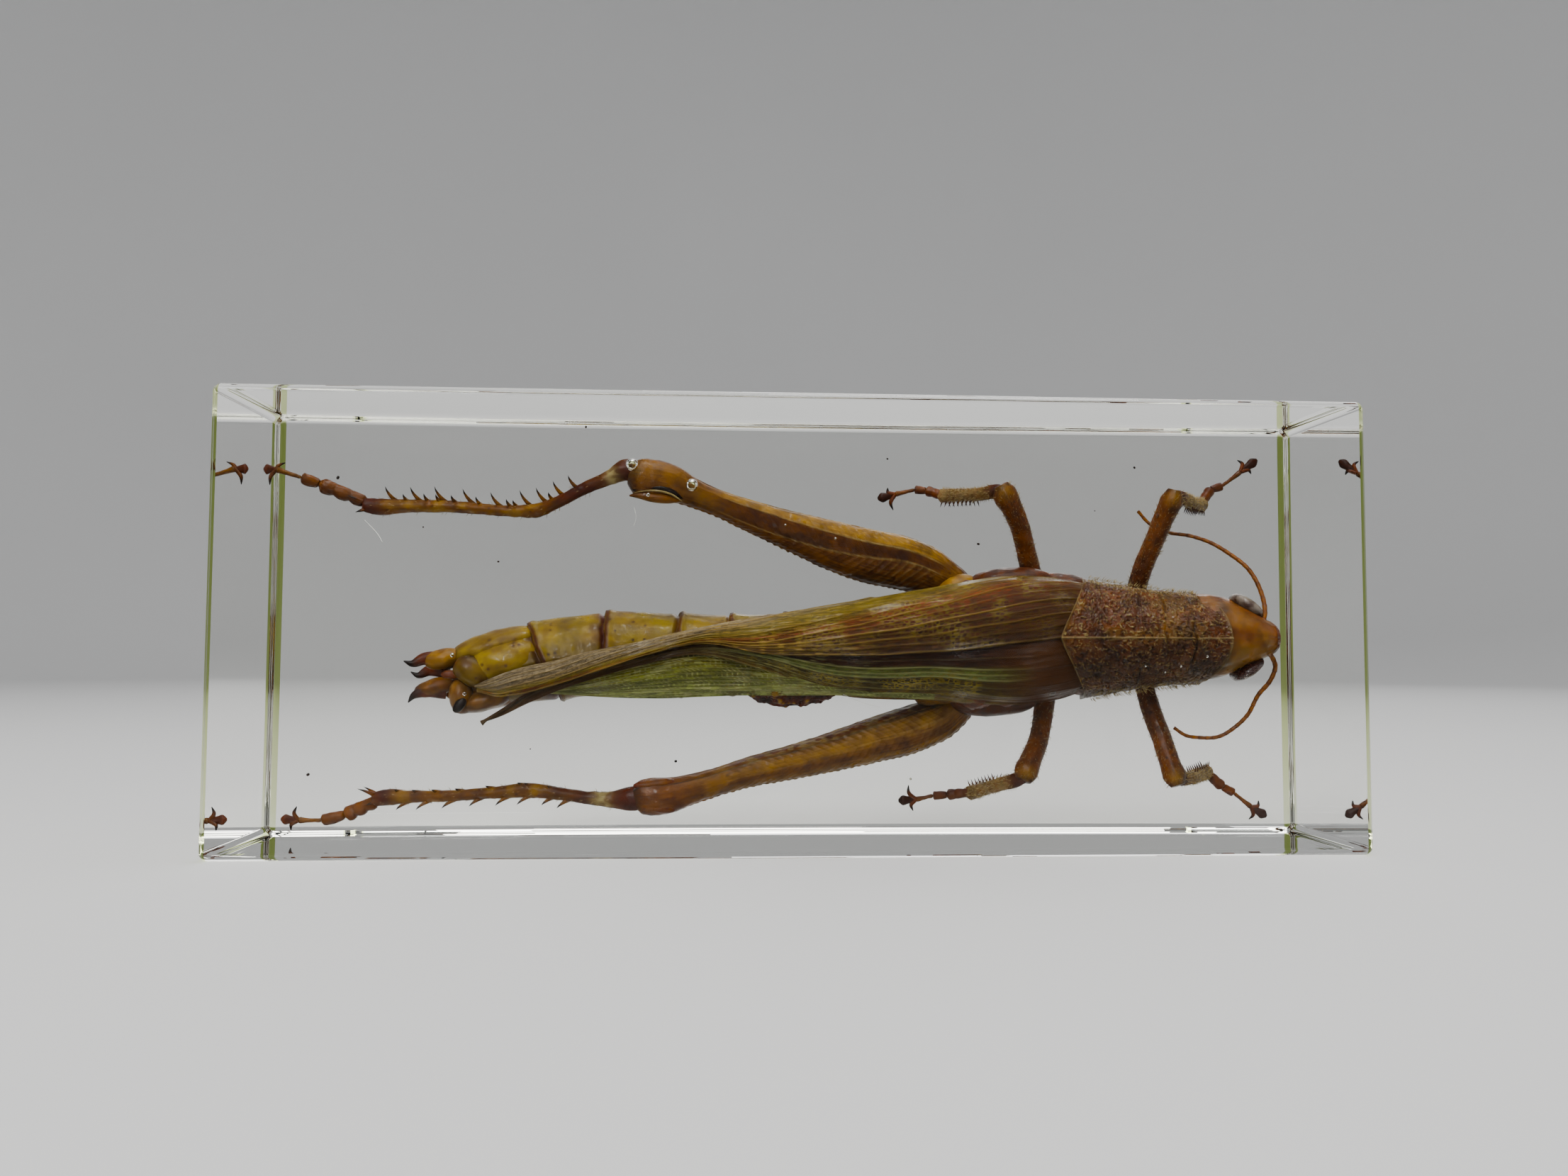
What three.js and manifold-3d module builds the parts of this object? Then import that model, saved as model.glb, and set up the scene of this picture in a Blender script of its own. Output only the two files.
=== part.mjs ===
// A large female locust cast in a polished block of clear resin.
// The block stands on one long narrow face. The insect lies in its mid plane with its back to the front
// (-Y), its head towards +X and its left side up (+Z). Millimetres, origin at the middle of the base.

import * as THREE from 'three';
import { RoundedBoxGeometry } from 'three/addons/geometries/RoundedBoxGeometry.js';
import { ConvexGeometry } from 'three/addons/geometries/ConvexGeometry.js';
import { mergeVertices } from 'three/addons/utils/BufferGeometryUtils.js';
import Module from 'manifold-3d';

// ---- driving dimensions ----

const BLOCK = [110, 28, 44]; // length, thickness, height
const EDGE_RADIUS = 1.6;
const EDGE_STEPS = 2;
const PARTING_Y = 0;

const POCKET_CLEARANCE = 0.4; // from the insect to the wall of its pocket
const BODY_Z = 20.8; // height of the insect's mid line
const WING_THICKNESS = 0.5;
const WING_STACK = 2.4; // the four wings as they lie on each other over the body, at the folds
const BODY_SIDES = 12;
const LIMB_SIDES = 6;

const wasm = await Module();
wasm.setup();

// ---- joining and cutting ----

function toSolid(geometry) {
  const plain = new THREE.BufferGeometry();
  plain.setAttribute('position', geometry.getAttribute('position').clone());
  plain.setIndex(geometry.getIndex());
  const merged = mergeVertices(plain, 1e-4);
  const mesh = new wasm.Mesh({
    numProp: 3,
    vertProperties: new Float32Array(merged.getAttribute('position').array),
    triVerts: new Uint32Array(merged.getIndex().array),
  });
  return new wasm.Manifold(mesh);
}

function toGeometry(solid) {
  const { vertProperties, triVerts } = solid.getMesh();
  const geometry = new THREE.BufferGeometry();
  geometry.setAttribute('position', new THREE.BufferAttribute(vertProperties, 3));
  geometry.setIndex(new THREE.BufferAttribute(triVerts, 1));
  geometry.computeVertexNormals();
  return geometry;
}

function joinAll(geometries) {
  return geometries.map(toSolid).reduce((whole, piece) => whole.add(piece));
}

// ---- shapes ----

// A closed skin over rings that all have the same number of points, with a fan over each end.
function skin(rings) {
  const count = rings[0].length;
  const centreOf = (ring) => ring.reduce((sum, p) => sum.add(p), new THREE.Vector3()).divideScalar(count);
  const points = [...rings.flat(), centreOf(rings[0]), centreOf(rings.at(-1))];
  const firstCentre = rings.length * count;
  const lastRing = (rings.length - 1) * count;
  const faces = [];
  for (let side = 0; side < count; side += 1) {
    const next = (side + 1) % count;
    for (let base = 0; base < lastRing; base += count) {
      faces.push(base + side, base + next, base + count + next);
      faces.push(base + side, base + count + next, base + count + side);
    }
    faces.push(firstCentre, next, side);
    faces.push(firstCentre + 1, lastRing + side, lastRing + next);
  }
  const geometry = new THREE.BufferGeometry().setFromPoints(points);
  geometry.setIndex(signedVolume(points, faces) < 0 ? faces.reverse() : faces);
  return geometry;
}

function signedVolume(points, faces) {
  let volume = 0;
  for (let i = 0; i < faces.length; i += 3) {
    const [a, b, c] = [points[faces[i]], points[faces[i + 1]], points[faces[i + 2]]];
    volume += a.dot(new THREE.Vector3().crossVectors(b, c));
  }
  return volume;
}

// A limb through stations [x, y, z, half width, half depth]; the depth lies as near to Y as the run allows.
function limb(stations, sides = LIMB_SIDES) {
  const centres = stations.map(([x, y, z]) => new THREE.Vector3(x, y, z));
  const rings = stations.map(([, , , halfWidth, halfDepth = halfWidth], i) => {
    const before = centres[Math.max(i - 1, 0)];
    const after = centres[Math.min(i + 1, centres.length - 1)];
    const along = after.clone().sub(before).normalize();
    const deep = new THREE.Vector3(0, 1, 0).addScaledVector(along, -along.y).normalize();
    const wide = new THREE.Vector3().crossVectors(along, deep);
    return Array.from({ length: sides }, (_, side) => {
      const angle = (2 * Math.PI * (side + 0.5)) / sides;
      return centres[i].clone()
        .addScaledVector(wide, halfWidth * Math.cos(angle))
        .addScaledVector(deep, halfDepth * Math.sin(angle));
    });
  });
  return skin(rings);
}

// A body segment chain through stations [x, y, z, half width along Z, half depth along Y].
function trunk(stations) {
  const rings = stations.map(([x, y, z, halfWidth, halfDepth]) => (
    Array.from({ length: BODY_SIDES }, (_, side) => {
      const angle = (2 * Math.PI * side) / BODY_SIDES;
      return new THREE.Vector3(x, y - halfDepth * Math.cos(angle), z + halfWidth * Math.sin(angle));
    })));
  return skin(rings);
}

// A four-sided spike from a square base to a point.
function spine(base, tip, radius) {
  const foot = new THREE.Vector3(...base);
  const point = new THREE.Vector3(...tip);
  const along = point.clone().sub(foot).normalize();
  const across = new THREE.Vector3(0, 1, 0).addScaledVector(along, -along.y).setLength(radius);
  const aside = new THREE.Vector3().crossVectors(along, across);
  const corners = [across, aside, across.clone().negate(), aside.clone().negate()];
  return new ConvexGeometry([point, ...corners.map((corner) => corner.add(foot))]);
}

function ball([x, y, z], [halfX, halfY, halfZ]) {
  const geometry = new THREE.SphereGeometry(1, 8, 6);
  geometry.scale(halfX, halfY, halfZ);
  geometry.translate(x, y, z);
  return geometry;
}

// A plate between rows of points [x, y, z], thickened away from the front: thin at both edges of a row.
function plate(rows, middleThickness = WING_THICKNESS) {
  const rings = rows.map((row) => {
    const outer = row.map((point) => new THREE.Vector3(...point));
    const inner = outer.map((point, i) => {
      const atEdge = i === 0 || i === row.length - 1;
      return point.clone().add(new THREE.Vector3(0, atEdge ? WING_THICKNESS : middleThickness, 0));
    });
    return [...outer, ...inner.reverse()];
  });
  return skin(rings);
}

const between = (a, b, share) => a.map((value, i) => value + (b[i] - value) * share);
const offset = (a, b) => a.map((value, i) => value + b[i]);

// ---- head ----

const HEAD = [
  [40, 0.6, 21, 3.9, 5.2],
  [43, 0.8, 21, 4.5, 6],
  [45.6, 0.9, 21, 4.2, 6.1],
  [47.4, 0.6, 21, 3.3, 5.2],
  [48.6, -0.6, 20.9, 2.2, 3.2],
  [49.2, -1.6, 20.9, 1, 1.4],
];
const EYE_SIZE = [1.7, 2.6, 1.2];
const LEFT_EYE = [46.3, -0.9, 24.1];
const RIGHT_EYE = [46.5, -0.9, 17.9];
const MOUTH = [
  [45.4, 4.6, 20.9, 2.9, 1.9],
  [45, 7.6, 20.9, 1.9, 1.2],
];

const LEFT_ANTENNA = [
  [47.4, -1.6, 22.4],
  [48, -1, 24],
  [48.1, 0, 26],
  [47.1, 1, 28.1],
  [45.5, 2, 29.7],
  [43.6, 3, 31],
  [41.7, 3.8, 31.7],
  [39.6, 4.6, 32.1],
  [37.7, 5.2, 33.1],
  [36.6, 5.5, 34.4],
];
const RIGHT_ANTENNA = [
  [47.8, -1.6, 19.6],
  [49.2, -1.2, 17.6],
  [48.7, -1, 16.5],
  [47.6, -0.6, 15.1],
  [46.5, 0, 12.9],
  [45.3, 0.3, 11.7],
  [43.6, 0.6, 10.7],
  [41.8, 1, 10.6],
  [40.4, 1.2, 10.8],
  [39.2, 1.5, 11.6],
];
const ANTENNA_RADIUS = 0.26;

const antenna = (points) => limb(points.map((point) => [...point, ANTENNA_RADIUS]), 5);

function head() {
  return [
    trunk(HEAD),
    limb(MOUTH, 8),
    ball(LEFT_EYE, EYE_SIZE),
    ball(RIGHT_EYE, EYE_SIZE),
    antenna(LEFT_ANTENNA),
    antenna(RIGHT_ANTENNA),
  ];
}

// ---- thorax, saddle and abdomen ----

const THORAX = [
  [13.5, 1.4, 19.8, 4.6, 4.8],
  [17, 1.6, 20, 6.2, 5.2],
  [22, 1.6, 20.4, 6.4, 5.4],
  [27, 1.4, 20.8, 6, 5.6],
  [33, 1.2, 20.9, 5, 5.4],
  [38, 1, 21, 4.5, 5.2],
  [42, 0.8, 21, 3.9, 5],
];

// The saddle over the front of the thorax: an arch whose rear edge runs back to a blunt point.
const SADDLE_FRONT = { x: 42.2, reach: 1.5, halfWidth: 4.6, top: -5.4, foot: 4 };
const SADDLE_REAR = { x: 30.8, reach: -4.6, halfWidth: 6.35, top: -5.6, foot: 3.4 };
const SADDLE_GROOVES = [0.2, 0.38, 0.55]; // share of the length, from the front
const GROOVE_DEPTH = 0.3;
const ARCH_POINTS = 13;

function saddle() {
  const shares = [0, 0.1, ...SADDLE_GROOVES.flatMap((at) => [at - 0.03, at, at + 0.03]), 0.7, 0.85, 1];
  const rings = shares.map((share) => {
    const mix = (key) => THREE.MathUtils.lerp(SADDLE_FRONT[key], SADDLE_REAR[key], share);
    const sunk = SADDLE_GROOVES.includes(share) ? GROOVE_DEPTH : 0;
    const waist = 0.35 * Math.sin(Math.PI * share);
    const halfWidth = mix('halfWidth') - waist - sunk;
    return Array.from({ length: ARCH_POINTS }, (_, step) => {
      const angle = Math.PI * (step / (ARCH_POINTS - 1) - 0.5);
      const level = Math.cos(angle) ** 0.8;
      const x = mix('x') + mix('reach') * Math.cos(angle) ** 2;
      const y = THREE.MathUtils.lerp(mix('foot'), mix('top') + sunk, level);
      return new THREE.Vector3(x, y, BODY_Z + halfWidth * Math.sin(angle));
    });
  });
  return skin(rings);
}

// Rings of the abdomen; each segment ends in a slightly proud hind edge.
const ABDOMEN = [
  [16, 1.6, 19.8, 4.6, 4.6],
  [8, 1.6, 19.4, 4.2, 4.4],
  [1, 1.5, 19.2, 4, 4.3],
  [-6, 1.4, 19, 3.9, 4.2],
  [-11.8, 1.3, 18.9, 4, 4.2],
  [-19.4, 1.2, 19.1, 4.1, 4.2],
  [-26, 1.2, 18, 3.9, 4.1],
  [-31, 1.2, 17.2, 3.9, 4],
];
const SEGMENT_LIP = 0.25;
const SEGMENT_NECK = 1.2;
const TAIL = [
  [-30, 1.2, 17.1, 4, 3.8],
  [-33, 1.1, 16.5, 3.8, 3.5],
  [-35.2, 1.1, 16.6, 2.8, 2.8],
];
const TAIL_LOBE = [[-33.4, -0.2, 14.6], [2.2, 2.3, 2]];

function abdomen() {
  const stations = ABDOMEN.flatMap(([x, y, z, halfWidth, halfDepth], i) => {
    const next = [x, y, z, halfWidth, halfDepth];
    if (i === ABDOMEN.length - 1) return [next];
    const lip = [x, y, z, halfWidth + SEGMENT_LIP, halfDepth + SEGMENT_LIP];
    const neck = [x - SEGMENT_NECK, y, z, halfWidth - SEGMENT_LIP, halfDepth - SEGMENT_LIP];
    return [lip, neck];
  });
  return [trunk(stations), trunk(TAIL), ball(...TAIL_LOBE)];
}

// Four hooked valves that open the burrow for the eggs: two above, two below.
const VALVES = [
  { root: [-34.5, 0.2, 18], heel: [-37, -0.3, 18.6], tip: [-39.1, -0.6, 17.9] },
  { root: [-34.5, 2.4, 17.6], heel: [-37, 2.8, 17.4], tip: [-38.8, 2.6, 16.8] },
  { root: [-34.5, 0.4, 15.8], heel: [-37, -0.2, 14.9], tip: [-38.8, -0.4, 14.3] },
  { root: [-34.5, 2.4, 15.6], heel: [-37, 3, 15.4], tip: [-38.4, 3, 15.2] },
];

const valve = ({ root, heel, tip }) => limb([[...root, 1.3], [...heel, 0.8], [...tip, 0.15]]);

// ---- wings ----

// Cross rows of the folded wings from the shoulder back; each runs from the left edge over the ridge.
const FOLDED_WINGS = [
  [[32, 0.5, 25.6], [32, -3.4, 24.4], [32, -5, 20.8], [32, -3.4, 17.2], [32, 0.5, 16]],
  [[23, 0, 27.2], [23, -4, 25], [23, -5.3, 20.6], [23, -4, 16.2], [23, 0, 13.9]],
  [[14, -0.4, 25.8], [14, -4.3, 23.8], [14, -5.1, 20], [14, -3.8, 16.4], [14, 0, 14.4]],
  [[4, -0.8, 24.1], [4, -4.4, 22.4], [4, -4.9, 19.4], [4, -3.6, 16.6], [4, -0.2, 15]],
  [[-7.6, -1.6, 22.2], [-7.6, -4.2, 21.2], [-7.6, -4.6, 18.8], [-7.6, -3.2, 16.6], [-7.6, -0.4, 15.1]],
  [[-15, -2.4, 20.4], [-15, -4, 19.6], [-15, -3.9, 18], [-15, -2.6, 16.2], [-15, -0.5, 14.7]],
  [[-24, -2.8, 18.1], [-24, -3.4, 17.5], [-24, -3, 16.6], [-24, -2.2, 15.9], [-24, -1.4, 15.4]],
];
// The two narrow forewing ends that cross the abdomen on their way to the tail.
const LEFT_STRAP = [
  [[-9.4, -4.6, 21.6], [-9.4, -5, 19.5]],
  [[-18, -4.2, 19.6], [-18, -4.4, 17.6]],
  [[-24, -3.8, 18.2], [-24, -3.9, 15.9]],
  [[-29.6, -3.2, 16.7], [-28.8, -3.2, 14.6]],
  [[-31.7, -2.8, 15.7], [-30.2, -2.8, 14.4]],
];
const RIGHT_STRAP = [
  [[-13, -4.2, 18.4], [-13, -3.8, 17.2]],
  [[-22, -3.3, 16.4], [-22, -3.1, 15.2]],
  [[-31.2, -2.2, 12.5], [-31, -2.2, 12.1]],
];
const WING_FLAP = [
  [[4, -0.2, 15.6], [3.4, 1, 14.6]],
  [[1, -0.2, 15.6], [1, 1.4, 13.8]],
  [[-3, -0.2, 15.6], [-3, 1.4, 13.8]],
  [[-5.4, -0.2, 15.6], [-5, 1, 14.8]],
];

function wings() {
  return [plate(FOLDED_WINGS, WING_STACK), plate(LEFT_STRAP), plate(RIGHT_STRAP), plate(WING_FLAP)];
}

// ---- legs ----

// Each leg: thigh and shin stations [x, y, z, half width, half depth], the foot's joints and the claw tips.
const LEGS = {
  leftFore: {
    thigh: [[36, 4.6, 23.6, 1.4], [36.3, 4.8, 26.9, 0.95], [37.8, 2.9, 31.2, 1.05], [39.2, 1.1, 35.2, 1.15]],
    shin: [[38.9, 1.3, 34.9, 0.8], [41, 2.6, 35.4, 0.75], [44, 7.5, 35.3, 0.8]],
    foot: [[43.7, 7.1, 35.2], [45.2, 8.2, 37], [46.5, 8.4, 37.4], [48.6, 8.6, 39], [50.1, 8.7, 40.1]],
    claws: [[48.3, 8.7, 40.3], [49.8, 8.7, 38.8]],
  },
  rightFore: {
    thigh: [[36.4, 4.6, 18.2, 1.4], [37, 4.8, 15.2, 0.95], [38.1, 2.8, 10.8, 1.05], [39.1, 1.1, 6.4, 1.15]],
    shin: [[38.8, 1.3, 7, 0.8], [41, 2.9, 6.4, 0.75], [44.1, 7.4, 6.7, 0.8]],
    foot: [[43.8, 7, 6.8], [45.9, 8, 5.1], [47.2, 8.2, 4.4], [49.1, 8.3, 2.9], [50.4, 8.3, 2.1]],
    claws: [[49.9, 8.3, 3.6], [48.8, 8.3, 1.6]],
  },
  leftMid: {
    thigh: [[25.8, 5, 24.6, 1.7], [24.8, 4.6, 28.2, 1], [23.6, 2.8, 32, 1.05], [21.5, 1.1, 35.6, 1.2]],
    shin: [[21.8, 1.2, 35, 0.85], [19.4, 2.4, 35.8, 0.75], [15.9, 7.4, 36, 0.8]],
    foot: [[16.2, 7, 35.9], [14.2, 8, 36.6], [13, 8.3, 36.7], [10.9, 8.5, 36.2], [9.4, 8.6, 35.8]],
    claws: [[10.1, 8.6, 36.9], [10.7, 8.6, 34.5]],
  },
  rightMid: {
    thigh: [[26.4, 5, 17, 1.7], [26.3, 4.6, 13.6, 1], [25.2, 2.8, 10, 1.05], [23.5, 1.1, 7, 1.2]],
    shin: [[23.7, 1.3, 7.2, 0.85], [21.2, 2.9, 5.7, 0.75], [18.8, 7.4, 4.5, 0.8]],
    foot: [[18.9, 7, 4.6], [16.4, 8.2, 4.2], [14.9, 8.4, 4.1], [13.1, 8.6, 3.7], [11.6, 8.6, 3.6]],
    claws: [[12.3, 8.6, 5.2], [12.8, 8.6, 2.5]],
  },
  leftHind: {
    thigh: [
      [18, 4.4, 24.2, 1.9],
      [15.9, 4.4, 27.6, 1.5, 1.7],
      [11.4, 3.2, 28.3, 2.6, 2.1],
      [3.8, 1.4, 30.3, 2.6, 2],
      [-4.9, -0.5, 33.3, 1.7, 1.5],
      [-10.3, -1.7, 35.1, 1.3, 1.3],
      [-12.6, -2.2, 36, 1.8, 1.5],
      [-15, -2.4, 36.2, 2.1, 1.6],
      [-17, -2.5, 36.3, 1.4, 1.3],
    ],
    shin: [
      [-17, -2.5, 37, 1.1, 1.1],
      [-19.4, -2.3, 36.3, 0.9, 0.9],
      [-24, -1, 34, 0.8, 0.85],
      [-26.6, 0, 33.5, 0.85, 0.9],
      [-35, 2.4, 34.2, 0.85, 0.9],
      [-44, 4.5, 34.4, 1, 1],
    ],
    foot: [[-44, 4.6, 34.6], [-48.7, 4.6, 36.3], [-50.5, 4.4, 36.9], [-52.3, 4.3, 37.3], [-53.9, 4.3, 37.6]],
    claws: [[-53.6, 4.3, 36], [-52.1, 4.3, 38.3]],
  },
  rightHind: {
    thigh: [
      [19.4, 4.4, 16.2, 1.9],
      [17, 4.5, 12.9, 1.5, 1.7],
      [12.6, 3.7, 11.3, 2.3, 2.1],
      [3.1, 2, 9, 1.95, 2],
      [-2.6, 0.9, 7.8, 1.5, 1.5],
      [-6.6, 0.1, 6.7, 1.25, 1.3],
      [-10, -0.5, 5.9, 1.4, 1.4],
      [-13.6, -1, 5, 1.8, 1.6],
      [-15.6, -1, 4.7, 1.4, 1.3],
    ],
    shin: [
      [-15.6, -0.9, 4.7, 1.2, 1.1],
      [-19.9, 0, 4.7, 0.9, 0.9],
      [-23.1, 1, 5, 0.8, 0.85],
      [-26.6, 2, 5.2, 0.85, 0.9],
      [-34.7, 4, 4.5, 0.8, 0.85],
      [-42.6, 6.2, 4, 1, 1],
    ],
    foot: [[-42.6, 6.2, 3.8], [-45.8, 6.9, 2.5], [-48.2, 7.3, 1.9], [-50.6, 7.6, 1.9], [-52, 7.6, 2]],
    claws: [[-50.8, 7.6, 3.3], [-51.3, 7.6, 0.9]],
  },
};
const FOOT_RADII = [0.75, 0.6, 0.35, 0.5];
const FOOT_NECK = 0.7; // a foot joint's end against its pad
const CLAW_RADIUS = 0.18;

// Two rows of spines run down the back of each hind shin: a long outer row and a short inner one.
const SPINE_ROWS = {
  leftHind: [
    { count: 7, lean: [-1.1, -0.6, 1.9] },
    { count: 8, lean: [-0.8, -1.3, 1] },
  ],
  rightHind: [
    { count: 7, lean: [-1.1, -0.6, -1.6] },
    { count: 8, lean: [-0.8, -1.3, 0.9] },
  ],
};
const SPINE_START = 0.42; // share of the shin's stations where the rows begin
const SPINE_RADIUS = 0.26;

function pointAlong(stations, share) {
  const place = share * (stations.length - 1);
  const index = Math.min(Math.floor(place), stations.length - 2);
  return between(stations[index].slice(0, 3), stations[index + 1].slice(0, 3), place - index);
}

function shinSpines(name) {
  return (SPINE_ROWS[name] ?? []).flatMap(({ count, lean }) => (
    Array.from({ length: count }, (_, step) => {
      const base = pointAlong(LEGS[name].shin, SPINE_START + (1 - SPINE_START) * ((step + 0.5) / count));
      return spine(base, offset(base, lean), SPINE_RADIUS);
    })));
}

function leg(name) {
  const { thigh, shin, foot, claws } = LEGS[name];
  const joints = foot.slice(1).map((end, i) => {
    const radius = FOOT_RADII[i];
    const pad = between(foot[i], end, 0.6);
    return limb([[...foot[i], radius * FOOT_NECK], [...pad, radius], [...end, radius * FOOT_NECK]]);
  });
  const hooks = claws.map((tip) => spine(foot[3], tip, CLAW_RADIUS));
  return [limb(thigh, 8), limb(shin), ...joints, ...hooks, ...shinSpines(name)];
}

// ---- the pocket in the resin ----

// Corners of a cube round each point [x, y, z, radius], larger than the radius by the clearance.
const cubeCorners = (points) => points.flatMap(([x, y, z, radius]) => {
  const half = radius + POCKET_CLEARANCE;
  const cube = new THREE.BoxGeometry(2 * half, 2 * half, 2 * half).translate(x, y, z);
  const corners = cube.getAttribute('position');
  return Array.from({ length: corners.count }, (_, i) => new THREE.Vector3().fromBufferAttribute(corners, i));
});

// Corners of an octagon drawn round each trunk station, clear of it in every direction.
function octagonCorners(stations) {
  const grow = POCKET_CLEARANCE + SEGMENT_LIP;
  const corner = 1 / Math.cos(Math.PI / 8);
  return stations.flatMap(([x, y, z, halfWidth, halfDepth]) => (
    Array.from({ length: 16 }, (_, i) => {
      const angle = (Math.PI * (i + 0.5)) / 4;
      const dy = (halfDepth + grow) * corner * Math.cos(angle);
      const dz = (halfWidth + grow) * corner * Math.sin(angle);
      return new THREE.Vector3(x + (i < 8 ? -grow : grow), y + dy, z + dz);
    })));
}

const hollow = (...corners) => new ConvexGeometry(corners.flat());
const withRadius = (points, radius) => points.map((point) => [...point.slice(0, 3), radius]);
const widest = (stations) => stations.map(([x, y, z, wide, deep = wide]) => [x, y, z, Math.max(wide, deep)]);

// Hollows along stations, each over a stretch of so many steps.
function hollowsAlong(stations, steps) {
  const starts = Array.from({ length: Math.ceil((stations.length - 1) / steps) }, (_, i) => i * steps);
  return starts.map((start) => hollow(cubeCorners(widest(stations.slice(start, start + steps + 1)))));
}

const FOOT_HOLLOW_RADII = [0.75, 0.75, 0.75, 0.6, 0.35];

function legHollows(name) {
  const { thigh, shin, foot, claws } = LEGS[name];
  const footPoints = foot.map((point, i) => [...point, FOOT_HOLLOW_RADII[i]]);
  const footHollow = hollow(cubeCorners([...footPoints, ...withRadius(claws, 0)]));
  if (!SPINE_ROWS[name]) {
    return [...hollowsAlong(thigh, 3), ...hollowsAlong(shin, 2), footHollow];
  }
  const spineTips = SPINE_ROWS[name].flatMap(({ lean }) => (
    [SPINE_START, 1].map((share) => [...offset(pointAlong(shin, share), lean), 0])));
  return [
    ...hollowsAlong(thigh, 4),
    ...hollowsAlong(shin.slice(0, 3), 2),
    hollow(cubeCorners([...widest(shin.slice(2)), ...spineTips])),
    footHollow,
  ];
}

function saddlePoints() {
  return [SADDLE_FRONT, SADDLE_REAR].flatMap(({ x, reach, halfWidth, top, foot }) => [
    [x + reach, top, BODY_Z, 0],
    ...[-1, 1].flatMap((side) => [
      [x, foot, BODY_Z + side * halfWidth, 0],
      [x + reach / 2, top + 0.8, BODY_Z + 0.75 * side * halfWidth, 0],
    ]),
  ]);
}

function pocket() {
  const wingCorners = (...plates) => cubeCorners(withRadius(plates.flat(2), WING_THICKNESS));
  const mouthAndEyes = [...withRadius(MOUTH, 1.9), [...LEFT_EYE, 1.3], [...RIGHT_EYE, 1.3]];
  const valvePoints = VALVES.flatMap(({ root, heel, tip }) => [[...root, 1.3], [...heel, 0.8], [...tip, 0]]);
  return joinAll([
    hollow(octagonCorners(HEAD), cubeCorners(mouthAndEyes)),
    hollow(octagonCorners(THORAX.slice(3)), cubeCorners(saddlePoints())),
    hollow(octagonCorners(THORAX.slice(0, 4)), wingCorners(FOLDED_WINGS.slice(0, 3))),
    hollow(octagonCorners(ABDOMEN.slice(0, 5)), wingCorners(FOLDED_WINGS.slice(2, 5), WING_FLAP)),
    hollow(octagonCorners(ABDOMEN.slice(4)), wingCorners(FOLDED_WINGS.slice(4), LEFT_STRAP)),
    hollow(octagonCorners(TAIL), cubeCorners([[...TAIL_LOBE[0], 2]]), wingCorners(RIGHT_STRAP.slice(1))),
    hollow(cubeCorners(valvePoints)),
    ...hollowsAlong(withRadius(LEFT_ANTENNA, ANTENNA_RADIUS), 3),
    ...hollowsAlong(withRadius(RIGHT_ANTENNA, ANTENNA_RADIUS), 3),
    ...Object.keys(LEGS).flatMap(legHollows),
  ]);
}

// ---- assembly ----

function locust() {
  const pieces = [
    ...head(),
    trunk(THORAX),
    saddle(),
    ...abdomen(),
    ...VALVES.map(valve),
    ...wings(),
    ...Object.keys(LEGS).flatMap(leg),
  ];
  return toGeometry(joinAll(pieces));
}

function block() {
  const geometry = new RoundedBoxGeometry(...BLOCK, EDGE_STEPS, EDGE_RADIUS);
  geometry.translate(0, 0, BLOCK[2] / 2);
  return toSolid(geometry);
}

// One half of the block: direction -1 is the front, +1 the back.
function half(whole, direction) {
  const reach = 2 * BLOCK[0];
  const side = new THREE.BoxGeometry(reach, reach, reach);
  side.translate(0, PARTING_Y + (direction * reach) / 2, 0);
  return toGeometry(whole.intersect(toSolid(side)));
}

const hollowBlock = block().subtract(pocket());
const resin = new THREE.MeshStandardMaterial({
  color: 0xdfe6d2, roughness: 0.03, metalness: 0, transparent: true, opacity: 0.35,
});
const chitin = new THREE.MeshStandardMaterial({ color: 0x8a5a22, roughness: 0.4, metalness: 0 });

const resinFront = new THREE.Mesh(half(hollowBlock, -1), resin);
resinFront.name = 'resin_front';
const resinBack = new THREE.Mesh(half(hollowBlock, 1), resin);
resinBack.name = 'resin_back';
const insect = new THREE.Mesh(locust(), chitin);
insect.name = 'locust';

const group = new THREE.Group();
group.add(resinFront, resinBack, insect);

export default group;
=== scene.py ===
import bpy
import numpy as np
from mathutils import Matrix


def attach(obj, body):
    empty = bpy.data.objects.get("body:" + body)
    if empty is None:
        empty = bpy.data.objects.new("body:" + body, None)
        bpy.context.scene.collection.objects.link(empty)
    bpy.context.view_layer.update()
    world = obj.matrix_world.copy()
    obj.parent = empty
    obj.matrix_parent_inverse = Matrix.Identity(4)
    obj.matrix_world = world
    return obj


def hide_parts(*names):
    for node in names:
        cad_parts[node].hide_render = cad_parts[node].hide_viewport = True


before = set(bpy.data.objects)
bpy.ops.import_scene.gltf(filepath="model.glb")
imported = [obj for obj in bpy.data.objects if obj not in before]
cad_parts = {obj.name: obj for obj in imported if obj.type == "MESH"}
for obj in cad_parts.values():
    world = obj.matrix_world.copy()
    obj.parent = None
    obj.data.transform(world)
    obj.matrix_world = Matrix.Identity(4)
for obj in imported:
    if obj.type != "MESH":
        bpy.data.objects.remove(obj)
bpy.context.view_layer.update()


# ================================================================================================
# The thorax: the box of three fused rings that carries the wings and legs. Dried brown shell with
# oblique seams on its flanks and a flat plate underneath; everything else of the insect grows on it.
# ================================================================================================

MM = 0.001
BODY_Z = 20.8  # height of the insect's mid line, in mm like every size below
WET_SHADE = 0.54  # shell soaked in resin is darker than dry shell
WET_DEPTH = 1.45  # and its colour lies further from grey

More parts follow.
